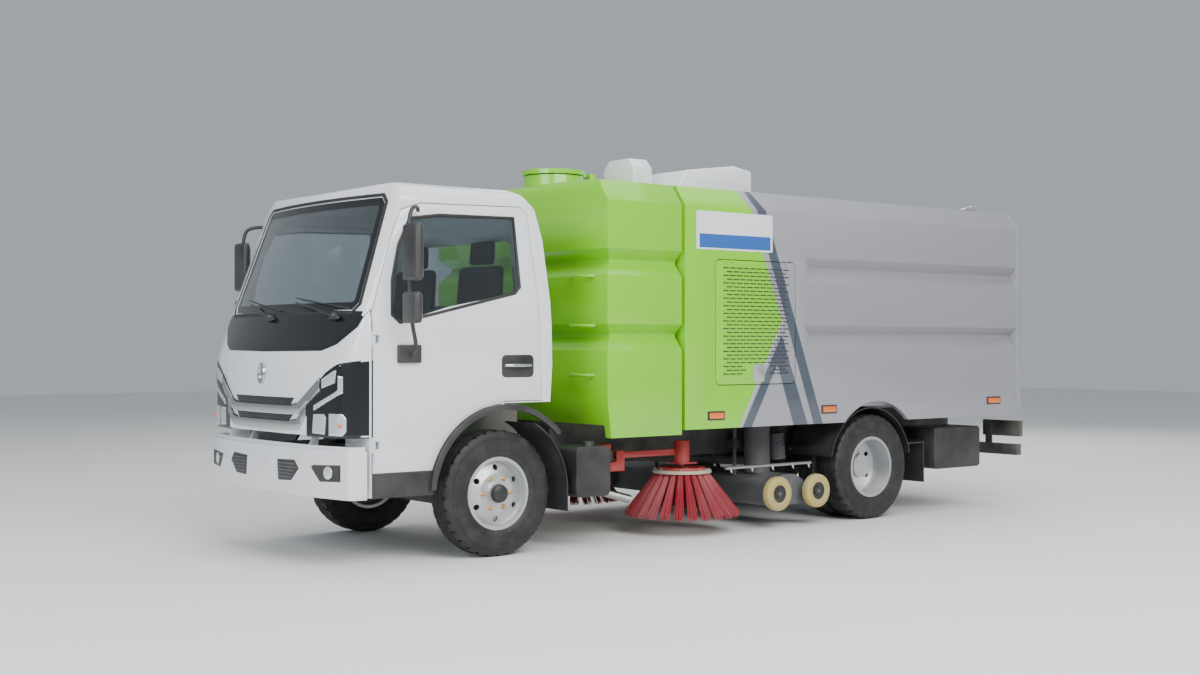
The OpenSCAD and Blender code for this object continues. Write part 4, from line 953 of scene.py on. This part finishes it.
# %% Where a CAD face lies
def face_at(node, x, z, side=1):
    """Distance of a CAD node's outer face from the middle, at one place on its side."""
    solid = frame["nodes"][node]
    tree = BVHTree.FromPolygons([solid.matrix_world @ v.co for v in solid.data.vertices],
                                [face.vertices for face in solid.data.polygons])
    place = tree.ray_cast(Vector((x, side * 3, z)), Vector((0, -side, 0)))[0]
    return abs(place.y) if place else None


def limits(node):
    """Low and high corner of a CAD node."""
    solid = frame["nodes"][node]
    corners = [solid.matrix_world @ Vector(corner) for corner in solid.bound_box]
    return [tuple(pick(c[k] for c in corners) for k in range(3)) for pick in (min, max)]


DOORS = ("left_door_body", "right_door_body")
FLAPS = ("left_flap", "right_flap")
BRUSHES = ("left_brush_body", "right_brush_body")
HOPPER_SIDES, CAB_SIDES, CHASSIS_SIDES = ("hopper_body",) * 2, ("cab",) * 2, ("chassis",) * 2


def on_both(piece, name, bodies, finish, angle=35):
    """Finishes a piece for the left side and its mirrored copy for the right."""
    other = flipped(piece, name + "_right")
    piece.name = piece.data.name = name + "_left"
    finished(piece, bodies[0], finish, angle=angle)
    finished(other, bodies[1], finish, angle=angle)
    print(name, len(piece.data.polygons), "faces a side")


BUMPER_LINE = [(0, 3.1625), (0.3, 3.1545), (0.6, 3.1375), (0.79, 3.0975), (0.918, 3.075), (0.95, 2.9975)]


def bumper_face(y, z):
    return between(BUMPER_LINE, abs(y))


# %% Bumper grilles and fog lamps
GRILLE = [(0.204, 0.615), (0.217, 0.490), (0.373, 0.496), (0.462, 0.572), (0.411, 0.622)]
FOG = [(0.585, 0.601), (0.675, 0.508), (0.856, 0.516), (0.856, 0.612)]
for sign, side in ((1, "left"), (-1, "right")):
    for title, outline in (("bumper_grille", GRILLE), ("fog_recess", FOG)):
        piece = front_trim("%s_%s" % (title, side), [(sign * y, z) for y, z in outline], 0.0012, 0.012,
                           surface=bumper_face)
        finished(piece, "chassis", black_plastic)
    bars = [tube("bar", [(bumper_face(y, z) + 0.002, sign * y, z) for y in (a, (a + b) / 2, b)], 0.003, False)
            for z, a, b in ((0.515, 0.232, 0.385), (0.535, 0.228, 0.405), (0.555, 0.224, 0.425),
                            (0.575, 0.22, 0.442), (0.595, 0.216, 0.425))]
    finished(joined(bars, "bumper_grille_bars_" + side), "chassis", grey_plastic)
    x = bumper_face(0.745, 0.56)
    bowl = turned("fog_lamp_" + side, [(0, -0.004), (0.033, -0.004), (0.038, 0.002), (0.036, 0.006),
                                       (0, 0.009)],
                  (x - 0.002, sign * 0.745, 0.562), (1, -0.2 * -sign, 0))
    finished(bowl, "chassis", clear_lens)

# %% Door handles
handle_y = face_at("left_door", 1.90, 1.16)
dish = slab("dish", soft_corners((1.787, 1.097), (2.026, 1.235), 0.03), "XZ", handle_y - 0.004,
            handle_y + 0.0015, 0.001)
on_both(dish, "door_handle_dish", DOORS, black_plastic)
bar = tube("bar", [(1.81, handle_y, 1.17), (1.83, handle_y + 0.022, 1.17), (1.98, handle_y + 0.022, 1.17),
                   (2.00, handle_y, 1.17)], 0.011)
on_both(bar, "door_handle_bar", DOORS, chrome)

# %% Mirrors
low, high = limits("left_mirror")
out = high[1] - 0.080
post = tube("post", [(2.6835, 0.97, 1.245), (2.6975, out - 0.06, 1.26), (2.7675, out - 0.03, 1.45),
                     (2.7875, out - 0.03, 2.04), (2.7075, out - 0.06, 2.11), (2.6075, 0.91, 2.085)], 0.012)
foot = block("foot", (2.6075, low[1] + 0.045, 1.192), (2.7595, low[1] + 0.08, 1.298), 0.008, 3)
shells = [block("shell", (2.7425, out - 0.090, 1.660), (2.7925, out + 0.0795, 1.990), 0.022, 4),
          block("shell", (2.7425, out - 0.090, 1.420), (2.7925, out + 0.070, 1.600), 0.020, 4)]
mirror = joined([post, foot] + shells, "mirror")
other = flipped(mirror, "mirror_right")
mirror.name = mirror.data.name = "mirror_left"
finished(mirror, "left_door_body", black_plastic, ["left_mirror"])
finished(other, "right_door_body", black_plastic, ["right_mirror"])
glass = joined([slab("glass", soft_corners((out - 0.078, 1.675), (out + 0.067, 1.975), 0.02), "YZ", 2.7405,
                     2.743, 0),
                slab("glass", soft_corners((out - 0.078, 1.434), (out + 0.058, 1.586), 0.02), "YZ", 2.7405,
                     2.743, 0)],
               "glass")
on_both(glass, "mirror_glass", DOORS, chrome)

# %% [markdown]
# ## Window gaskets, sills and arch flares
# A rubber gasket seals each door window. Below the door the cab ends in a dark sill, and a
# black flare follows the wheel arch.


# %% Gaskets, sills and flares
def hull_of(points):
    """Convex outline round flat points."""
    points = sorted(set(points))
    chains = []
    for run in (points, points[::-1]):
        chain = []
        for p in run:
            while len(chain) > 1 and ((chain[-1][0] - chain[-2][0]) * (p[1] - chain[-2][1])
                                      - (chain[-1][1] - chain[-2][1]) * (p[0] - chain[-2][0])) <= 1e-9:
                chain.pop()
            chain.append(p)
        chains += chain[:-1]
    return chains


pane = frame["nodes"]["left_door_glass"]
spots = [pane.matrix_world @ v.co for v in pane.data.vertices]
edge = hull_of([(round(v.x, 4), round(v.z, 4)) for v in spots])
NEAR = 0.002
gasket_line = [(x, max(v.y for v in spots if abs(v.x - x) < NEAR and abs(v.z - z) < NEAR) + 0.014,
                z) for x, z in edge]
gasket = tube("gasket", gasket_line, 0.011, False, 4, True)
on_both(gasket, "window_gasket", DOORS, soft_rubber)

ARCH_R = 0.540
arch = [(FRONT_AXLE - 0.010 + r * math.cos(math.radians(a)), AXLE_Z + r * math.sin(math.radians(a)))
        for r, run in ((ARCH_R + 0.009, range(6, 139, 6)), (ARCH_R - 0.026, range(138, 5, -6))) for a in run]
flare = slab("flare", arch, "XZ", 0.928, 0.958, 0.003)
on_both(flare, "arch_flare", CAB_SIDES, black_plastic)
door_low = limits("left_door")[0][2]
sill_face = max(face_at("cab_shell", 2.7, 0.47) or 0, 0.9)
low, top = 0.415, door_low - 0.005
print("door bottom", round(door_low, 3), "sill face", round(sill_face, 3))
if face_at("cab_shell", 2.7, 0.47):
    sill = slab("sill", [(2.925, low), (2.925, top), (2.49, top), (2.515, low)], "XZ", sill_face - 0.002,
                sill_face + 0.002, 0)
    on_both(sill, "cab_sill", CAB_SIDES, black_plastic)

# %% [markdown]
# ## Engine bay flaps
# Each flap is a pressed sheet with staggered rows of short louvres. The dark opening of each
# louvre is painted shade: a thin black slab on the sheet, with a lip of the flap's paint over its
# top. One row is made, then it's repeated down the sheet, and the rows leave room for the paddle latch.

# %% Flaps with louvres
TOP_ROW, ROW_DROP, PITCH = 1.822, 0.0258, 0.0637
ODD_X, EVEN_X = 0.255, 0.222
SLOT_LONG = 0.053
for side in ("left", "right"):
    softened(side + "_engine_flap", ribbon_paint, 0.004, 2)
face = face_at("left_engine_flap", 0.28, 1.5)


# Each slot is a thin black slab on the flap: painted shade where the louvre opens.
def louvre_row(first, count, z, skip=None):
    row = []
    for k in range(count):
        x = first - k * PITCH
        if skip and skip[0] < x - 0.026 < skip[1]:
            continue
        shade_slot = slab("slot", [(x - SLOT_LONG, z - 0.008), (x, z - 0.008), (x, z + 0.005),
                                  (x - SLOT_LONG, z + 0.005)],
                         "XZ", face - 0.002, face + 0.0008, 0)
        row.append(shade_slot)
    return row


odd = joined(louvre_row(ODD_X, 10, 0), "odd")
even = joined(louvre_row(EVEN_X, 9, 0), "even")
for row, start in ((odd, 0), (even, 1)):
    row.data.transform(Matrix.Translation((0, 0, TOP_ROW - ROW_DROP * start)))
rows = [shifted_copies(odd, [(0, 0, -2 * ROW_DROP * k) for k in range(1, 13)], "odd"),
        shifted_copies(even, [(0, 0, -2 * ROW_DROP * k) for k in range(1, 13)], "even")]
for k in range(3):
    z = TOP_ROW - ROW_DROP * (26 + k)
    rows += louvre_row(EVEN_X if k % 2 else ODD_X, 10 - k % 2, z, (-0.20, 0.055))
louvre_shade = joined(rows, "louvre_shade")
only(louvre_shade)
bpy.ops.object.duplicate()
lips = named("lips")
edit_all()
bpy.ops.transform.translate(value=(0, 0.0022, 0.0085))
leave_edit()
# The black slot slabs are painted shade; the lips over them are the flap's own film.
on_both(louvre_shade, "flap_louvre_painted_shade", FLAPS, black_plastic)
on_both(lips, "flap_louvre_lips", FLAPS, ribbon_paint)
latch = joined([slab("latch", soft_corners((-0.131, 1.040), (-0.022, 1.160), 0.012), "XZ", face - 0.002,
                     face + 0.006, 0.002),
                slab("paddle", soft_corners((-0.112, 1.062), (-0.041, 1.125), 0.008), "XZ", face + 0.004,
                     face + 0.012, 0.003)],
               "latch")
on_both(latch, "flap_latch", FLAPS, silver_paint)

# %% [markdown]
# ## Sign board, marker lamps and grab rungs
# The sign board is blank: a white sheet with a blue band. Amber marker lamps run along the
# lower edge, and three rungs climb the tank's front wall.

# %% Side fittings
sign_face = face_at("hopper", 0.15, 2.05)
board = slab("board", soft_corners((-0.212, 1.936), (0.499, 2.195), 0.012), "XZ", sign_face - 0.002,
             sign_face + 0.002, 0)
on_both(board, "sign_board", HOPPER_SIDES, white_paint)
blue_paint = paint("blue_paint", (0.02, 0.11, 0.42), 0.35)
strip = slab("strip", soft_corners((-0.192, 1.949), (0.472, 2.042), 0.004), "XZ", sign_face,
             sign_face + 0.0028, 0)
on_both(strip, "sign_band", HOPPER_SIDES, blue_paint)
for k, (x0, x1, z0, z1) in enumerate([(0.242, 0.398, 0.787, 0.847), (-0.862, -0.703, 0.800, 0.861),
                                      (-2.770, -2.600, 0.820, 0.880)]):
    y = face_at("hopper", (x0 + x1) / 2, (z0 + z1) / 2) or 0.995
    base = slab("base", soft_corners((x0, z0), (x1, z1), 0.008), "XZ", y - 0.004, y + 0.006, 0.002)
    on_both(base, "marker_base_%d" % k, HOPPER_SIDES, black_plastic)
    lens = slab("lens", soft_corners((x0 + 0.012, z0 + 0.010), (x1 - 0.012, z1 - 0.010), 0.006), "XZ", y,
                y + 0.012, 0.003)
    on_both(lens, "marker_lens_%d" % k, HOPPER_SIDES, amber_lens)
rungs = [tube("rung", [(1.25, 0.62, z), (1.31, 0.64, z), (1.31, 0.84, z), (1.25, 0.86, z)],
              0.011) for z in (1.10, 1.42, 1.74)]
finished(joined(rungs, "tank_rungs"), "chassis", lime_paint)
print("side fittings made")

# %% [markdown]
# ## Wheels
# The front wheel shows a flat silver disc with six gold nuts round a black hub cap. The rear
# disc is dished the other way, so its nuts sit deep inside.

# %% Hub caps and nuts
for node, body, sign, at_x in [("front_left_rim", "front_left_wheel", 1, FRONT_AXLE),
                               ("front_right_rim", "front_right_wheel", -1, FRONT_AXLE),
                               ("rear_left_rims", "rear_left_wheels", 1, REAR_AXLE),
                               ("rear_right_rims", "rear_right_wheels", -1, REAR_AXLE)]:
    disc = face_at(node, at_x + 0.104, AXLE_Z, sign)
    nuts = []
    for k in range(6):
        turn = math.tau * k / 6
        x, z = at_x + 0.100 * math.cos(turn), AXLE_Z + 0.100 * math.sin(turn)
        nut = turned("nut", [(0, 0.0), (0.016, 0.0), (0.016, 0.004), (0.013, 0.006), (0.013, 0.018),
                             (0.010, 0.021), (0, 0.021)],
                     (x, sign * disc, z), (0, sign, 0), 6)
        nuts.append(nut)
    finished(joined(nuts, node + ".nuts"), body, brass if node.startswith("front") else steel,
             angle=20)
    cap = turned(node + ".cap", [(0, 0.060), (0.040, 0.058), (0.052, 0.050), (0.058, 0.030),
                                 (0.060, 0.001), (0, 0.001)],
                 (at_x, sign * disc, AXLE_Z), (0, sign, 0), 40)
    finished(cap, body, black_plastic if node.startswith("front") else silver_paint)
    print(node, "disc face at", round(disc, 3))

# %% [markdown]
# ## Side brushes
# Each brush is a plate with tufts of stiff plastic bristles. One tuft of thin cones is made,
# fanned out towards the ground, and turned round the spindle.

# %% Brushes
STRAWS, TUFTS = 34, 24
GOLDEN_TURN = 2.399963
bristle_red = plastic("bristle_red", (0.36, 0.010, 0.030), 0.55, 300, 0.2, 0.35)
plate_cream = plastic("plate_cream", (0.50, 0.46, 0.36), 0.6, 300, 0.2, 0.5)
low, high = limits("left_brush")
bx, by = (low[0] + high[0]) / 2, (low[1] + high[1]) / 2
reach = (high[0] - low[0]) / 2
plate_z = high[2] - 0.040
straws = []
for k in range(STRAWS):
    a = k * GOLDEN_TURN
    spread = math.sqrt((k + 0.5) / STRAWS)
    root = Vector((0.165 + 0.012 * spread * math.cos(a), 0.012 * spread * math.sin(a), plate_z))
    tip = Vector((reach - 0.032 + 0.026 * spread * math.cos(a), 0.036 * spread * math.sin(a),
                  low[2] + 0.006 + 0.012 * (k % 3)))
    bpy.ops.mesh.primitive_cone_add(vertices=4, radius1=0.0046, radius2=0.0026, depth=(tip - root).length,
                                    end_fill_type="NGON")
    straw = bpy.context.object
    straw.rotation_euler = (tip - root).to_track_quat("Z", "Y").to_euler()
    straw.location = (root + tip) / 2
    bpy.ops.object.transform_apply(location=True, rotation=True, scale=True)
    straws.append(straw)
tuft = joined(straws, "tuft")
ring = ring_of(tuft, TUFTS, (0, 0, 0), (0, 0, 1), "bristles")
ring.data.transform(Matrix.Translation((bx, by, 0)))
other = flipped(ring, "brush_right")
ring.name = ring.data.name = "brush_left"
finished(ring, "left_brush_body", bristle_red, ["left_brush"])
finished(other, "right_brush_body", bristle_red, ["right_brush"])
plate = turned("plate", [(0.016, 0.022), (0.045, 0.022), (0.050, 0.012), (0.200, 0.012), (0.205, 0.006),
                         (0.205, -0.008), (0.198, -0.012), (0.016, -0.012), (0.016, 0.022)],
               (bx, by, plate_z), (0, 0, 1), 64)
on_both(plate, "brush_plate", BRUSHES, plate_cream)
collar = turned("collar", [(0.120, 0.013), (0.160, 0.013), (0.160, 0.028), (0.120, 0.028), (0.120, 0.013)],
                (bx, by, plate_z), (0, 0, 1), 48)
on_both(collar, "brush_collar", BRUSHES, red_paint)
bolt = turned("bolt", [(0, 0.012), (0.009, 0.012), (0.009, 0.022), (0, 0.022)], (0.185, 0, plate_z),
              (0, 0, 1), 6)
bolts = ring_of(bolt, 8, (0, 0, 0), (0, 0, 1), "bolts")
bolts.data.transform(Matrix.Translation((bx, by, 0)))
on_both(bolts, "brush_bolts", BRUSHES, steel)

# %% Suction nozzle wheels
for end in ("fl", "rl", "fr", "rr"):
    node = "nozzle_wheel_" + end
    low, high = limits(node)
    centre = [(a + b) / 2 for a, b in zip(low, high)]
    half, radius = (high[1] - low[1]) / 2, (high[0] - low[0]) / 2
    tyre = turned(node + ".look", [(0.062, half * 0.85), (0.075, half), (radius - 0.012, half),
                                   (radius - 0.003, half * 0.8),
                                   (radius, half * 0.45), (radius, -half * 0.45),
                                   (radius - 0.003, -half * 0.8),
                                   (radius - 0.012, -half), (0.075, -half), (0.062, -half * 0.85)], centre,
                                   (0, 1, 0), 56)
    finished(tyre, "nozzle_" + end, cream_rubber, [node])
    hub = turned(node + ".hub", [(0.014, half * 0.9), (0.03, half * 0.9), (0.034, half * 0.6),
                                 (0.058, half * 0.6),
                                 (0.0625, half * 0.8), (0.0625, -half * 0.8), (0.058, -half * 0.6),
                                 (0.034, -half * 0.6),
                                 (0.03, -half * 0.9), (0.014, -half * 0.9), (0.014, half * 0.9)], centre,
                                 (0, 1, 0), 40)
    finished(hub, "nozzle_" + end, black_plastic)

# %% [markdown]
# ## Spray bar, suction pipe and seats
# A bar with small nozzles wets the road beside the brush, and a ribbed pipe leads air from the
# suction nozzle. The seats are firm foam under cloth.

# %% Spray bar and ribbed pipe
bar = tube("bar", [(0.1675, 0.93, 0.45), (-0.20, 0.93, 0.45), (-0.6625, 0.93, 0.45)], 0.012, False)
jets = [turned("jet", [(0, 0), (0.009, 0), (0.009, 0.018), (0.005, 0.03), (0, 0.03)], (x, 0.93, 0.442),
               (0, 0.4, -1), 12)
        for x in (0.12, -0.08, -0.28, -0.48, -0.64)]
on_both(joined([bar] + jets, "bar"), "spray_bar", CHASSIS_SIDES, steel)
rings = [(0.058 + (0.006 if k % 2 else 0.0), 0.010 * k) for k in range(20)]
pipe = turned("pipe", [(0.0, 0.0)] + rings + [(0, 0.19)], (-0.68, 0.58, 0.455), (0.1, 0, 1), 32)
finished(pipe, "nozzle", grey_plastic)

# %% Seats
cloth_grey = plastic("cloth_grey", (0.045, 0.047, 0.052), 0.9, 1400, 0.6, 0.1)
for sign, side in ((1, "left"), (-1, "right")):
    y = sign * 0.4
    base = block("base", (1.8125, y - 0.235, 1.045), (2.2625, y + 0.235, 1.225), 0.045, 5)
    finished(base, "cab", cloth_grey, ["seats"] if sign == 1 else ())
    named("seat_cushion_" + side)
    rest = slab("rest", [(1.8125, 1.235), (1.9125, 1.235), (1.8575, 1.80), (1.7825, 1.80)], "XZ",
                y - 0.225, y + 0.225, 0.035, 5)
    finished(rest, "cab", cloth_grey)
    named("seat_back_" + side)
    head = slab("head", [(1.784, 1.81), (1.850, 1.81), (1.838, 1.96), (1.779, 1.96)], "XZ", y - 0.115,
                y + 0.115, 0.025, 4)
    finished(head, "cab", cloth_grey)
    named("seat_headrest_" + side)
print("seats made")

# %% [markdown]
# ## Tail
# Lamp clusters sit on the boards under the body.

# %% Tail lamps
low, high = limits("tail_bar")
for k, (y0, y1, lens) in enumerate([(0.62, 0.70, clear_lens), (0.71, 0.80, amber_lens),
                                    (0.81, 0.91, red_lens)]):
    lamp = block("lamp", (low[0] - 0.0, y0, 0.405), (low[0] + 0.02, y1, 0.465), 0.006, 3)
    on_both(lamp, "tail_lamp_%d" % k, CHASSIS_SIDES, lens)
print("tail lamps made")
